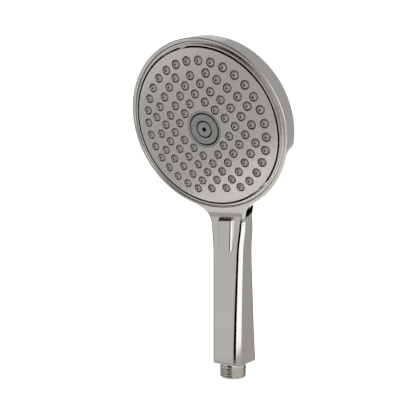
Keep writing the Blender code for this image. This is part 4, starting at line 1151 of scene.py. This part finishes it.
@dataclass
class SprayFace:
    """Trim ring, face plate, nozzle mat and centre insert.

    Attributes:
        plate_radius: radius of the face plate.
        plate_thickness: its thickness.
        hole_radius: radius of each nozzle hole.
        hole_chamfer: rounding of each hole's edge.
        centre_hole: radius of the hole for the centre insert.
        mat_radius: radius of the mat.
        mat_depth: depth of the mat's front.
        mat_thickness: its thickness.
        mat_edge: rounding of the mat's edges.
        bore: radius of the channel through the mat behind each nozzle.
        proud: height of the nozzle tips over the plate.
        pattern: places of the nozzles.
    """

    plate_radius: float = 59.7 * MM
    plate_thickness: float = 2.0 * MM
    hole_radius: float = 3.45 * MM
    hole_chamfer: float = 0.22 * MM
    centre_hole: float = 13.8 * MM
    mat_radius: float = 59.0 * MM
    mat_depth: float = 2.3 * MM
    mat_thickness: float = 1.6 * MM
    mat_edge: float = 0.1 * MM
    bore: float = 1.35 * MM
    proud: float = 1.4 * MM
    pattern: NozzlePattern = field(default_factory=NozzlePattern)

    def bezel(self, nickel: bpy.types.Material) -> bpy.types.Object:
        """Build the trim ring.

        Args:
            nickel: its finish.

        Returns:
            The ring.
        """
        profile = rounded([
            (61.0 * MM, 0.0, 0.3 * MM),
            (62.1 * MM, 0.0, 0.18 * MM),
            (62.2 * MM, -2.0 * MM, 0.3 * MM),
            (63.3 * MM, -2.1 * MM, 0.05 * MM),
            (63.3 * MM, -5.5 * MM, 0.1 * MM),
            (61.0 * MM, -5.5 * MM, 0.1 * MM),
        ], 5)
        obj = shade(turned("bezel_ring_visual", profile, 256, HEAD.matrix), Shading.EDGES)
        obj = flatten_normals(obj)
        return self.hang(obj, nickel, "bezel_ring")

    def filled(
        self, name: str, outer: float, hole: float, depth: float, thick: float, edge: float
    ) -> bpy.types.Object:
        """Fill a disc with round holes and rounded edges.

        Args:
            name: name of the piece.
            outer: radius of the disc.
            hole: radius of each nozzle hole, or 0 for none.
            depth: depth of its front.
            thick: its thickness.
            edge: rounding of its edges.

        Returns:
            The piece as a mesh.
        """
        curve = bpy.data.curves.new(name, "CURVE")
        curve.dimensions = "2D"
        curve.fill_mode = "BOTH"
        curve.extrude = thick / 2 - edge
        curve.bevel_depth = edge
        curve.bevel_resolution = 2
        curve.offset = -edge
        rings = [(outer, 256, 0.0, 0.0), (self.centre_hole, 96, 0.0, 0.0)]
        if hole:
            rings += [(hole, 32, x, y) for x, y in self.pattern.places()]
        for radius, sides, x, y in rings:
            spline = curve.splines.new("POLY")
            spline.points.add(sides - 1)
            for i, point in enumerate(spline.points):
                turn = 2 * math.pi * i / sides
                point.co = (x + radius * math.cos(turn), y + radius * math.sin(turn), 0.0, 1.0)
            spline.use_cyclic_u = True
        obj = bpy.data.objects.new(name, curve)
        bpy.context.scene.collection.objects.link(obj)
        obj.matrix_world = HEAD.matrix @ Matrix.Translation((0.0, 0.0, -depth - thick / 2))
        obj = baked(obj)
        tidy_normals(obj.data)
        return obj

    def plate(self, nickel: bpy.types.Material) -> bpy.types.Object:
        """Build the face plate.

        Args:
            nickel: its finish.

        Returns:
            The plate.
        """
        obj = self.filled(
            "spray_plate_visual", self.plate_radius, self.hole_radius, 0.0, self.plate_thickness, self.hole_chamfer
        )
        obj = flatten_normals(shade(obj, Shading.FLATS))
        return self.hang(obj, nickel, "spray_plate")

    def nozzle(self) -> bpy.types.Object:
        """Build one nozzle with its bore, on the face's frame.

        Returns:
            The nozzle.
        """
        base = -(self.mat_depth + self.mat_thickness * 0.4)
        profile = rounded([
            (1.3 * MM, base, 0.0),
            (1.3 * MM, self.proud - 0.9 * MM, 0.0),
            (0.85 * MM, self.proud - 0.6 * MM, 0.0),
            (0.85 * MM, self.proud - 0.1 * MM, 0.1 * MM),
            (1.05 * MM, self.proud, 0.1 * MM),
            (1.6 * MM, self.proud, 0.3 * MM),
            (2.1 * MM, self.proud - 0.8 * MM, 0.3 * MM),
            (2.45 * MM, -0.1 * MM, 0.4 * MM),
            (2.6 * MM, -1.2 * MM, 0.3 * MM),
            (2.65 * MM, base, 0.0),
        ], 3)
        return shade(turned("nozzle", profile, 24, Matrix.Identity(4)), Shading.EDGES)

    def nozzle_tree(self) -> bpy.types.NodeTree:
        """Build the node tree that sets a nozzle on every point.

        Returns:
            The tree.
        """
        tree = new_tree("nozzle_field", {"Nozzle": "Object", "Turn Spread": "Float", "Rubber": "Material"})
        given = add_node(tree, "NodeGroupInput")
        source = add_node(tree, "GeometryNodeObjectInfo", None, Object=given.outputs["Nozzle"])
        index = add_node(tree, "GeometryNodeInputIndex")
        low = add_node(tree, "ShaderNodeMath", {"operation": "MULTIPLY", 0: given.outputs["Turn Spread"], 1: -1.0})
        spin = add_node(
            tree, "FunctionNodeRandomValue",
            {"data_type": "FLOAT", 2: low.outputs[0], 3: given.outputs["Turn Spread"]},
            ID=index.outputs[0], Seed=7,
        )
        turn = add_node(tree, "ShaderNodeCombineXYZ", None, Z=spin.outputs[1])
        placed = add_node(
            tree, "GeometryNodeInstanceOnPoints", None, Points=given.outputs["Geometry"],
            Instance=source.outputs["Geometry"],
        )
        turned_each = add_node(
            tree, "GeometryNodeRotateInstances", None, Instances=placed.outputs["Instances"], Rotation=turn.outputs[0]
        )
        real = add_node(tree, "GeometryNodeRealizeInstances", None, Geometry=turned_each.outputs[0])
        painted = add_node(
            tree, "GeometryNodeSetMaterial", None, Geometry=real.outputs[0], Material=given.outputs["Rubber"]
        )
        add_node(tree, "NodeGroupOutput", None, Geometry=painted.outputs[0])
        return tree

    def mat(self, rubber: bpy.types.Material) -> bpy.types.Object:
        """Build the mat with all its nozzles.

        Args:
            rubber: its finish.

        Returns:
            The mat.
        """
        points = bpy.data.meshes.new("nozzle_points")
        points.from_pydata([(x, y, 0.0) for x, y in self.pattern.places()], [], [])
        field_object = mesh_object("nozzle_field", points)
        nozzle = self.nozzle()
        modifier = field_object.modifiers.new("Nozzles", "NODES")
        modifier.node_group = self.nozzle_tree()
        fill_inputs(modifier, {"Nozzle": nozzle, "Turn Spread": 3.1, "Rubber": rubber})
        field_object.matrix_world = HEAD.matrix
        tips = baked(field_object)
        bpy.data.objects.remove(nozzle)
        sheet = self.filled(
            "nozzle_mat_visual", self.mat_radius, self.bore, self.mat_depth, self.mat_thickness, self.mat_edge
        )
        shade(sheet, Shading.EDGES)
        sheet.data.materials.append(rubber)
        joined = join([sheet, tips], "nozzle_mat_visual")
        return self.hang(joined, rubber, "nozzle_mat")

    def centre(self, jet: bpy.types.Material) -> list[bpy.types.Object]:
        """Build the three rings of the centre insert.

        Args:
            jet: finish of the rings.

        Returns:
            The rings.
        """
        collar = rounded([
            (14.5 * MM, 0.04 * MM, 0.0),
            (13.6 * MM, 0.04 * MM, 0.0),
            (13.6 * MM, -3.9 * MM, 0.0),
            (13.3 * MM, -3.9 * MM, 0.0),
            (12.8 * MM, -1.6 * MM, 0.0),
            (12.65 * MM, -0.3 * MM, 0.2 * MM),
            (13.3 * MM, 0.1 * MM, 0.2 * MM),
            (14.45 * MM, 0.35 * MM, 0.15 * MM),
        ], 4)
        disc = rounded([
            (11.55 * MM, -0.1 * MM, 0.3 * MM),
            (11.3 * MM, -1.6 * MM, 0.0),
            (10.9 * MM, -3.9 * MM, 0.0),
            (7.4 * MM, -3.9 * MM, 0.0),
            (6.95 * MM, -1.6 * MM, 0.0),
            (6.75 * MM, -0.1 * MM, 0.25 * MM),
            (7.4 * MM, -0.25 * MM, 0.3 * MM),
            (10.9 * MM, -0.25 * MM, 0.3 * MM),
        ], 4)
        core = rounded([
            (5.65 * MM, 0.1 * MM, 0.3 * MM),
            (5.45 * MM, -1.6 * MM, 0.0),
            (5.1 * MM, -3.9 * MM, 0.0),
            (3.9 * MM, -3.9 * MM, 0.0),
            (3.9 * MM, -0.9 * MM, 0.0),
            (1.75 * MM, -0.6 * MM, 0.0),
            (1.75 * MM, -0.1 * MM, 0.15 * MM),
            (2.2 * MM, 0.1 * MM, 0.2 * MM),
        ], 4)
        made = []
        for node, slot, profile in (
            ("centre_collar", "silicone_collar", collar),
            ("centre_disc", "centre_disc", disc),
            ("centre_jet", "centre_jet", core),
        ):
            obj = shade(turned(f"{node}_visual", profile, 128, HEAD.matrix), Shading.EDGES)
            made.append(self.hang(obj, jet, node))
        return made

    def hang(self, obj: bpy.types.Object, finish: bpy.types.Material, node: str) -> bpy.types.Object:
        """Give a piece its finish and let it stand for a CAD node.

        Args:
            obj: the piece.
            finish: its material.
            node: CAD node that it stands for.

        Returns:
            The same piece.
        """
        obj.data.materials.clear()
        obj.data.materials.append(finish)
        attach(obj, Body.HOUSING.value)
        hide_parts(node)
        return obj

    def build(
        self, nickel: bpy.types.Material, rubber: bpy.types.Material, jet: bpy.types.Material
    ) -> list[bpy.types.Object]:
        """Build every piece of the face.

        Args:
            nickel: finish of the ring and plate.
            rubber: finish of the mat.
            jet: finish of the centre rings.

        Returns:
            The pieces made.
        """
        return [self.bezel(nickel), self.plate(nickel), self.mat(rubber), *self.centre(jet)]


def join(objects: list[bpy.types.Object], name: str) -> bpy.types.Object:
    """Join meshes into one object.

    Args:
        objects: meshes at the origin.
        name: name of the result.

    Returns:
        The joined object.
    """
    shape = bmesh.new()
    for obj in objects:
        shape.from_mesh(obj.data)
    for obj in objects:
        bpy.data.objects.remove(obj)
    return from_shape(name, shape)


# --- Button -------------------------------------------------------------------
@dataclass
class ModeButton:
    """Thumb button: sloping cap, flange, arm and hinge barrel.

    Attributes:
        edge: rounding of the cap's ends.
        side_edge: rounding of its long sides.
        ramp_slope: fall of the upper ramp, Y against Z.
        blend: softness of the line between face and ramp.
        flange_half: half width of the flange.
        flange_top: Z of its upper end.
        flange_thickness: its thickness.
        flange_overlap: how far it reaches into the cap.
        barrel_radius: radius of the hinge barrel.
        arm_left: X of the arm's left side.
        arm_right: X of its right side.
        arm_foot: Z where the arm starts.
        spring_left: X where the room for the spring starts.
        spring_reach: half height and half depth of that room.
        spring_top: its height over the hinge.
    """

    edge: float = 0.5 * MM
    side_edge: float = 1.7 * MM
    ramp_slope: float = 1.07
    blend: float = 0.35 * MM
    flange_half: float = 8.7 * MM
    flange_top: float = 129.0 * MM
    flange_thickness: float = 1.2 * MM
    flange_overlap: float = 0.3 * MM
    barrel_radius: float = 1.9 * MM
    arm_left: float = 7.4 * MM
    arm_right: float = 9.4 * MM
    arm_foot: float = 122 * MM
    spring_left: float = 3.2 * MM
    spring_reach: float = 4 * MM
    spring_top: float = 2.8 * MM

    def face_at(self, height: float) -> float:
        """Give the Y of the cap's surface, the sloping face running into the upper ramp.

        Args:
            height: Z on the cap.

        Returns:
            Y of the surface.
        """
        slope = (BUTTON.front_bottom - BUTTON.front_top) / (BUTTON.top - BUTTON.bottom)
        face = BUTTON.front_top + (BUTTON.top - height) * slope
        ramp = BUTTON.front_top + (height - BUTTON.top) * self.ramp_slope
        blend = self.blend
        gap = max(blend - abs(face - ramp), 0.0) / blend
        return max(face, ramp) + gap * gap * blend / 4

    def cap(self, rows: int = 150, columns: int = 56) -> bpy.types.Object:
        """Build the cap as one skin, rounded where the face meets the sides.

        Args:
            rows: steps up the cap.
            columns: steps across it.

        Returns:
            The closed cap.
        """
        shape = bmesh.new()
        crown = BUTTON.top + BUTTON.ramp - BUTTON.arch
        grid, skirt = [], []
        for i in range(rows + 1):
            up = (1 - math.cos(math.pi * i / rows)) / 2 * 0.35 + i / rows * 0.65
            line, foot = [], []
            for j in range(columns + 1):
                across = -math.cos(math.pi * j / columns) * 0.5 + (2 * j / columns - 1) * 0.5
                top = crown + BUTTON.arch * max(1 - across**4, 0.0) ** 0.5
                height = BUTTON.bottom + up * (top - BUTTON.bottom)
                share = (height - BUTTON.bottom) / (crown - BUTTON.bottom)
                half = BUTTON.half_bottom + (BUTTON.half_top - BUTTON.half_bottom) * share
                x = across * half
                near = min(half - abs(x), self.side_edge)
                reach = self.side_edge - near
                drop = self.side_edge - math.sqrt(max(self.side_edge**2 - reach**2, 0.0))
                foot_gap = min(height - BUTTON.bottom, top - height, self.edge)
                foot_reach = self.edge - foot_gap
                foot_drop = self.edge - math.sqrt(max(self.edge**2 - foot_reach**2, 0.0))
                y = self.face_at(height) + max(drop, foot_drop)
                line.append(shape.verts.new((x, y, height)))
                foot.append((x, BUTTON.inner, height))
            grid.append(line)
            skirt.append(foot)
        for i in range(rows):
            for j in range(columns):
                shape.faces.new((grid[i][j], grid[i][j + 1], grid[i + 1][j + 1], grid[i + 1][j]))
        loop = [(0, j) for j in range(columns)] + [(i, columns) for i in range(rows)]
        loop += [(rows, j) for j in range(columns, 0, -1)] + [(i, 0) for i in range(rows, 0, -1)]
        rim = [grid[i][j] for i, j in loop]
        base = [shape.verts.new(skirt[i][j]) for i, j in loop]
        for k in range(len(rim)):
            n = (k + 1) % len(rim)
            shape.faces.new((rim[k], rim[n], base[n], base[k]))
        shape.faces.new(base)
        bmesh.ops.recalc_face_normals(shape, faces=shape.faces)
        return from_shape("cap", shape)

    def build(self, nickel: bpy.types.Material) -> list[bpy.types.Object]:
        """Build the button.

        Args:
            nickel: its finish.

        Returns:
            The pieces made.
        """
        cap = self.cap()
        back = BUTTON.inner - self.flange_overlap
        half = self.flange_half
        hinge_y, hinge_z = BUTTON.hinge_y, BUTTON.hinge_z
        flange = block(
            "flange", (-half, back, hinge_z), (half, back + self.flange_thickness, self.flange_top)
        )
        # The arm ends just short of the cam of the selector rod.
        contact = HEAD.side(-(HEAD.radius + 6.5 * MM) + 5.4 * MM, 10.5 * MM)
        arm = block(
            "arm", (self.arm_left, back + self.flange_thickness / 2, self.arm_foot),
            (self.arm_right, contact[0] - 0.3 * MM, contact[1] - 0.3 * MM),
        )
        barrel = rod_between(
            "barrel", Vector((-half, hinge_y, hinge_z)), Vector((self.spring_left, hinge_y, hinge_z)),
            self.barrel_radius,
        )
        body = cut(cap, [flange, arm, barrel], "UNION")
        hole = rod_between(
            "hole", Vector((-half - MM, hinge_y, hinge_z)), Vector((half + MM, hinge_y, hinge_z)), BUTTON.pin_radius
        )
        reach = self.spring_reach
        room = block(
            "room", (self.spring_left, hinge_y - reach, hinge_z - reach),
            (half + MM, hinge_y + reach, hinge_z + self.spring_top),
        )
        body = cut(body, [hole, room])
        body.name = "mode_button_visual"
        body = flatten_normals(shade(body, Shading.EDGES))
        body.data.materials.clear()
        body.data.materials.append(nickel)
        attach(body, Body.BUTTON.value)
        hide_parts("mode_button")
        return [body]


# --- Inlet --------------------------------------------------------------------
@dataclass
class Inlet:
    """Threaded inlet.

    Attributes:
        radius: outer radius of the thread.
        pitch: its pitch.
        depth: its depth.
        length: length of the threaded part.
        shank: radius of the shank above it.
        bore: radius of the bore.
    """

    radius: float = 10.4775 * MM
    pitch: float = 1.814 * MM
    depth: float = 1.16 * MM
    length: float = 9.6 * MM
    shank: float = 9.0 * MM
    bore: float = 6.6 * MM

    def thread_tree(self) -> bpy.types.NodeTree:
        """Build the node tree that wraps a grid into a helical thread.

        Returns:
            The tree.
        """
        sizes = dict.fromkeys(("Radius", "Pitch", "Depth", "Length"), "Float")
        tree = new_tree("pipe_thread", {**sizes, "Metal": "Material"})
        given = add_node(tree, "NodeGroupInput")

        def maths(operation: str, *values) -> bpy.types.NodeSocket:
            """Add a maths node and give its result."""
            settings = {"operation": operation}
            settings.update(dict(enumerate(values)))
            return add_node(tree, "ShaderNodeMath", settings).outputs[0]

        grid = add_node(
            tree, "GeometryNodeMeshGrid", None, Size_X=1.0, Size_Y=1.0, Vertices_X=161, Vertices_Y=181
        )
        place = add_node(tree, "GeometryNodeInputPosition").outputs[0]
        split = add_node(tree, "ShaderNodeSeparateXYZ", {0: place})
        share = maths("ADD", split.outputs[0], 0.5)
        height = maths("MULTIPLY", maths("ADD", split.outputs[1], 0.5), given.outputs["Length"])
        phase = maths("SUBTRACT", maths("DIVIDE", height, given.outputs["Pitch"]), share)
        wave = maths("PINGPONG", phase, 0.5)
        ramp = add_node(
            tree, "ShaderNodeMapRange", {"interpolation_type": "SMOOTHSTEP"}, Value=wave, From_Min=0.17,
            From_Max=0.43, To_Min=0.0, To_Max=1.0,
        ).outputs["Result"]
        start = add_node(
            tree, "ShaderNodeMapRange", None, Value=height, From_Min=0.0, From_Max=0.0011, To_Min=1.0, To_Max=0.0,
        ).outputs["Result"]
        end = maths("SUBTRACT", given.outputs["Length"], height)
        fade = add_node(
            tree, "ShaderNodeMapRange", None, Value=end, From_Min=0.0, From_Max=0.0009, To_Min=1.0, To_Max=0.0,
        ).outputs["Result"]
        sunk = maths("MAXIMUM", maths("MAXIMUM", ramp, start), fade)
        radius = maths("SUBTRACT", given.outputs["Radius"], maths("MULTIPLY", sunk, given.outputs["Depth"]))
        turn = maths("MULTIPLY", share, 2 * math.pi)
        wrapped = add_node(
            tree, "ShaderNodeCombineXYZ", None, X=maths("MULTIPLY", radius, maths("COSINE", turn)),
            Y=maths("MULTIPLY", radius, maths("SINE", turn)), Z=height,
        )
        moved = add_node(
            tree, "GeometryNodeSetPosition", None, Geometry=grid.outputs["Mesh"], Position=wrapped.outputs[0]
        )
        sealed = add_node(tree, "GeometryNodeMergeByDistance", None, Geometry=moved.outputs[0], Distance=0.000001)
        real = add_node(tree, "GeometryNodeRealizeInstances", None, Geometry=sealed.outputs[0])
        painted = add_node(
            tree, "GeometryNodeSetMaterial", None, Geometry=real.outputs[0], Material=given.outputs["Metal"]
        )
        add_node(tree, "NodeGroupOutput", None, Geometry=painted.outputs[0])
        return tree

    def thread(self, nickel: bpy.types.Material) -> bpy.types.Object:
        """Build the threaded sleeve.

        Args:
            nickel: its finish.

        Returns:
            The closed sleeve.
        """
        seed = bpy.data.meshes.new("thread_seed")
        seed.from_pydata([(0.0, 0.0, 0.0)], [], [])
        obj = mesh_object("thread", seed)
        modifier = obj.modifiers.new("Thread", "NODES")
        modifier.node_group = self.thread_tree()
        fill_inputs(modifier, {
            "Radius": self.radius, "Pitch": self.pitch, "Depth": self.depth, "Length": self.length, "Metal": nickel,
        })
        obj = baked(obj)
        shape = bmesh.new()
        shape.from_mesh(obj.data)
        bmesh.ops.translate(shape, vec=(0.0, 0.0, 0.15 * MM), verts=shape.verts)
        rims = [edge for edge in shape.edges if edge.is_boundary]
        bmesh.ops.holes_fill(shape, edges=rims, sides=0)
        bmesh.ops.recalc_face_normals(shape, faces=shape.faces)
        shape.to_mesh(obj.data)
        shape.free()
        return obj

    def build(self, nickel: bpy.types.Material) -> list[bpy.types.Object]:
        """Build the inlet.

        Args:
            nickel: its finish.

        Returns:
            The pieces made.
        """
        root = self.radius - self.depth
        bore = self.bore
        core = rounded([
            (6.3 * MM, 34.0 * MM, 0.2 * MM),
            (6.3 * MM, 24.0 * MM, 0.0),
            (self.shank, 24.0 * MM, 0.2 * MM),
            (self.shank, 18.35 * MM, 0.0),
            (self.shank - 1.15 * MM, 18.35 * MM, 0.0),
            (self.shank - 1.15 * MM, 16.85 * MM, 0.0),
            (self.shank, 16.85 * MM, 0.0),
            (self.shank, 11.4 * MM, 0.0),
            (root - 0.1 * MM, 11.2 * MM, 0.1 * MM),
            (root - 0.1 * MM, 0.0, 0.25 * MM),
            (bore, 0.0, 0.25 * MM),
            (bore, 21.2 * MM, 0.0),
            (2.2 * MM, 21.2 * MM, 0.0),
            (2.2 * MM, 24.0 * MM, 0.0),
            (3.3 * MM, 24.0 * MM, 0.0),
            (3.3 * MM, 30.0 * MM, 0.0),
            (4.45 * MM, 30.0 * MM, 0.0),
            (4.45 * MM, 31.8 * MM, 0.0),
            (3.3 * MM, 31.8 * MM, 0.0),
            (3.3 * MM, 34.0 * MM, 0.1 * MM),
        ], 3)
        body = shade(turned("inlet_core", core, 128, Matrix.Identity(4)), Shading.EDGES)
        sleeve = self.thread(nickel)
        drill = rod_between("drill", Vector((0, 0, -MM)), Vector((0, 0, 12 * MM)), bore + 0.8 * MM, 96)
        sleeve = cut(sleeve, [drill])
        shade(sleeve, Shading.EDGES)
        obj = join([body, sleeve], "inlet_nipple_visual")
        obj.data.materials.clear()
        obj.data.materials.append(nickel)
        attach(obj, Body.HOUSING.value)
        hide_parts("inlet_nipple")
        return [obj]


# --- Inner pieces -------------------------------------------------------------
@dataclass
class InnerPieces:
    """Finishes of the pieces inside, which keep their CAD shapes.

    Attributes:
        groups: finish to the nodes that have it.
    """

    groups: dict[str, tuple[str, ...]] = field(
        default_factory=lambda: {
            "white": ("waterway_housing", "rod_guide", "water_tube", "check_valve_cage"),
            "dark": ("flow_divider", "mode_disc", "selector_rod", "flow_regulator", "check_valve_poppet"),
            "rubber": ("mode_seal", "housing_oring", "nipple_oring", "tube_oring", "tube_end_seal"),
            "steel": (
                "housing_screw_1", "housing_screw_2", "housing_screw_3", "inlet_screen", "check_valve_spring",
                "button_spring", "button_pin",
            ),
        }
    )

    def build(self, nodes: dict[str, bpy.types.Object]) -> list[bpy.types.Object]:
        """Paint the inner pieces.

        Args:
            nodes: CAD nodes of the frame.

        Returns:
            The painted nodes.
        """
        finishes = {
            "white": MouldedPlastic("white_moulded_plastic", "dddcd7").make(),
            "dark": MouldedPlastic("black_acetal", "2c2c2e", 0.35).make(),
            "rubber": SoftSilicone("black_seal_rubber", "1d1d1e", 0.55).make(),
            "steel": DrawnSteel("drawn_stainless_steel").make(),
        }
        painted = []
        for key, names in self.groups.items():
            for name in names:
                node = nodes[name]
                node.data.materials.clear()
                node.data.materials.append(finishes[key])
                painted.append(node)
        return painted


# --- Studio -------------------------------------------------------------------
@dataclass(frozen=True)
class Panel:
    """A tall curved light or flag that stands round the object.

    Attributes:
        name: name of the panel.
        start: azimuth of one side in degrees, 0 towards -Y and 90 towards +X.
        end: azimuth of the other side.
        low: Z of its lower edge.
        high: Z of its upper edge.
        glow: brightness, 0 for a black flag.
        distance: distance from the object.
    """

    name: str
    start: float
    end: float
    low: float
    high: float
    glow: float
    distance: float = 1.1


@dataclass
class Studio:
    """Pale floor, soft light and camera.

    Attributes:
        panels: lights and flags.
        floor_height: Z of the floor.
        floor_radius: radius of the floor.
        floor_glow: light that comes through the floor.
        ceiling_glow: light that comes from the disc overhead.
        camera_at: place of the camera.
        camera_to: point that it looks at.
        lens: focal length in millimetres on a 36 mm sensor.
        surround: brightness of the surround in reflections.
        backdrop_glow: its brightness otherwise.
        ceiling_radius: radius of the grey disc overhead.
        ceiling_height: its Z.
    """

    panels: tuple[Panel, ...] = (
        Panel("softbox", 20.0, 139.5, -0.72, 0.85, 1.3, 3.0),
        Panel("side_fill", 139.0, 177.0, -0.36, 1.2, 0.4),
        Panel("backdrop", 177.0, 205.0, -0.36, 1.2, 1.25),
        Panel("rear_fill", 205.0, 236.0, -0.3, 1.3, 0.58),
        Panel("left_dim", -124.0, -80.0, -0.28, 0.85, 0.19),
        Panel("front_fill", -80.0, -27.0, -0.28, 0.48, 0.57),
        Panel("upper_flag", -80.0, -27.0, 0.48, 1.3, 0.03),
        Panel("black_flag", -27.0, 20.0, -0.28, 1.2, 0.0),
        Panel("low_flag", 160.0, 222.0, -0.9, 0.01, 0.0, 0.7),
    )
    surround: float = 0.4
    backdrop_glow: float = 1.3
    ceiling_radius: float = 0.65
    ceiling_height: float = 0.9
    floor_height: float = -0.30
    floor_glow: float = 0.14
    ceiling_glow: float = 0.38
    floor_radius: float = 0.62
    camera_at: tuple[float, float, float] = (0.2388, -0.3831, 0.1333)
    camera_to: tuple[float, float, float] = (-0.01648, -0.01132, 0.13451)
    lens: float = 48.74

    def cloth(self, name: str, colour: str, roughness: float, glow: float, gloss: float = 0.5) -> bpy.types.Material:
        """Make the plain material of a studio surface.

        Args:
            name: name of the material.
            colour: its colour.
            roughness: its roughness.
            glow: white light that it gives off.
            gloss: strength of its reflection.

        Returns:
            The material.
        """
        made = bpy.data.materials.new(name)
        made.use_nodes = True
        values = {
            "Base Color": srgb(colour), "Roughness": roughness, "Specular IOR Level": gloss,
            "Emission Color": (1.0, 1.0, 1.0, 1.0), "Emission Strength": glow,
        }
        shader = made.node_tree.nodes["Principled BSDF"]
        for socket, value in values.items():
            shader.inputs[socket].default_value = value
        return made

    def panel(self, panel: Panel) -> bpy.types.Object:
        """Build one panel.

        Args:
            panel: its sizes.

        Returns:
            The panel.
        """
        shape = bmesh.new()
        steps = 24
        rows = []
        for i in range(steps + 1):
            turn = math.radians(panel.start + (panel.end - panel.start) * i / steps)
            x, y = panel.distance * math.sin(turn), -panel.distance * math.cos(turn)
            rows.append([shape.verts.new((x, y, panel.low)), shape.verts.new((x, y, panel.high))])
        for first, second in zip(rows, rows[1:]):
            shape.faces.new((first[0], first[1], second[1], second[0]))
        obj = from_shape(panel.name, shape)
        obj.data.materials.append(self.cloth(f"{panel.name}_cloth", "000000", 1.0, panel.glow, 0.0))
        obj.visible_camera = False
        return obj

    def floor(self) -> bpy.types.Object:
        """Build the plain floor.

        Returns:
            The floor.
        """
        low = self.floor_height
        profile = [(0.0, low), (self.floor_radius, low), (self.floor_radius, low - 0.01), (0.0, low - 0.01)]
        obj = turned("floor", profile, 96, Matrix.Identity(4))
        obj.data.materials.append(self.cloth("pale_painted_floor", "f7f6f4", 0.8, self.floor_glow))
        return obj

    def ceiling(self) -> bpy.types.Object:
        """Build the grey disc that hangs over the object.

        Returns:
            The disc.
        """
        high = self.ceiling_height
        profile = [(0.0, high), (self.ceiling_radius, high), (self.ceiling_radius, high + 0.01), (0.0, high + 0.01)]
        obj = turned("ceiling_flag", profile, 96, Matrix.Identity(4))
        obj.data.materials.append(self.cloth("grey_overhead_cloth", "0a0a0a", 1.0, self.ceiling_glow))
        obj.visible_camera = False
        return obj

    def world(self) -> None:
        """Make the white surround, which the camera sees and which lights softly."""
        world = bpy.data.worlds.new("white_surround")
        world.use_nodes = True
        bpy.context.scene.world = world
        tree = world.node_tree
        tree.nodes.clear()
        ray = add_node(tree, "ShaderNodeLightPath").outputs["Is Glossy Ray"]
        white = add_node(tree, "ShaderNodeBackground", None, Color=(1.0, 1.0, 1.0, 1.0), Strength=self.backdrop_glow)
        soft = add_node(tree, "ShaderNodeBackground", None, Color=(1.0, 1.0, 1.0, 1.0), Strength=self.surround)
        mixed = add_node(tree, "ShaderNodeMixShader", {0: ray, 1: white.outputs[0], 2: soft.outputs[0]})
        add_node(tree, "ShaderNodeOutputWorld", None, Surface=mixed.outputs[0])

    def camera(self) -> bpy.types.Object:
        """Set up the camera.

        Returns:
            The camera.
        """
        data = bpy.data.cameras.new("camera")
        data.lens = self.lens
        data.sensor_width = 36.0
        data.clip_start = 0.01
        obj = bpy.data.objects.new("camera", data)
        bpy.context.scene.collection.objects.link(obj)
        obj.location = self.camera_at
        look = Vector(self.camera_to) - Vector(self.camera_at)
        obj.rotation_euler = look.to_track_quat("-Z", "Y").to_euler()
        bpy.context.scene.camera = obj
        return obj

    def build(self) -> None:
        """Build the studio."""
        for panel in self.panels:
            self.panel(panel)
        self.floor()
        self.ceiling()
        self.world()
        self.camera()
        bpy.context.scene.view_settings.view_transform = "Standard"


def main() -> None:
    """Build every piece of the finished look and log the face count of each."""
    logging.basicConfig(level=logging.INFO, format="%(name)s: %(message)s")
    bpy.ops.object.select_all(action="SELECT")
    bpy.ops.object.delete()
    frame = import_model()
    nickel = SatinNickel("satin_nickel_plating").make()
    plate = SatinNickel("satin_nickel_plate", "ece8e3", 0.14, 0.001 * MM).make()
    inlet = SatinNickel("nickel_plated_brass", "e3ded9", 0.09, 0.001 * MM).make()
    rubber = SoftSilicone("grey_silicone").make()
    jet = SoftSilicone("grey_soft_plastic", "918f8d", 0.38).make()
    for group in (
        BodyShell().build(nickel),
        SprayFace().build(plate, rubber, jet),
        ModeButton().build(nickel),
        Inlet().build(inlet),
        InnerPieces().build(frame["nodes"]),
    ):
        for piece in group:
            LOG.info("%s: %d faces", piece.name, len(piece.data.polygons))
    Studio().build()


if __name__ == "__main__":
    main()
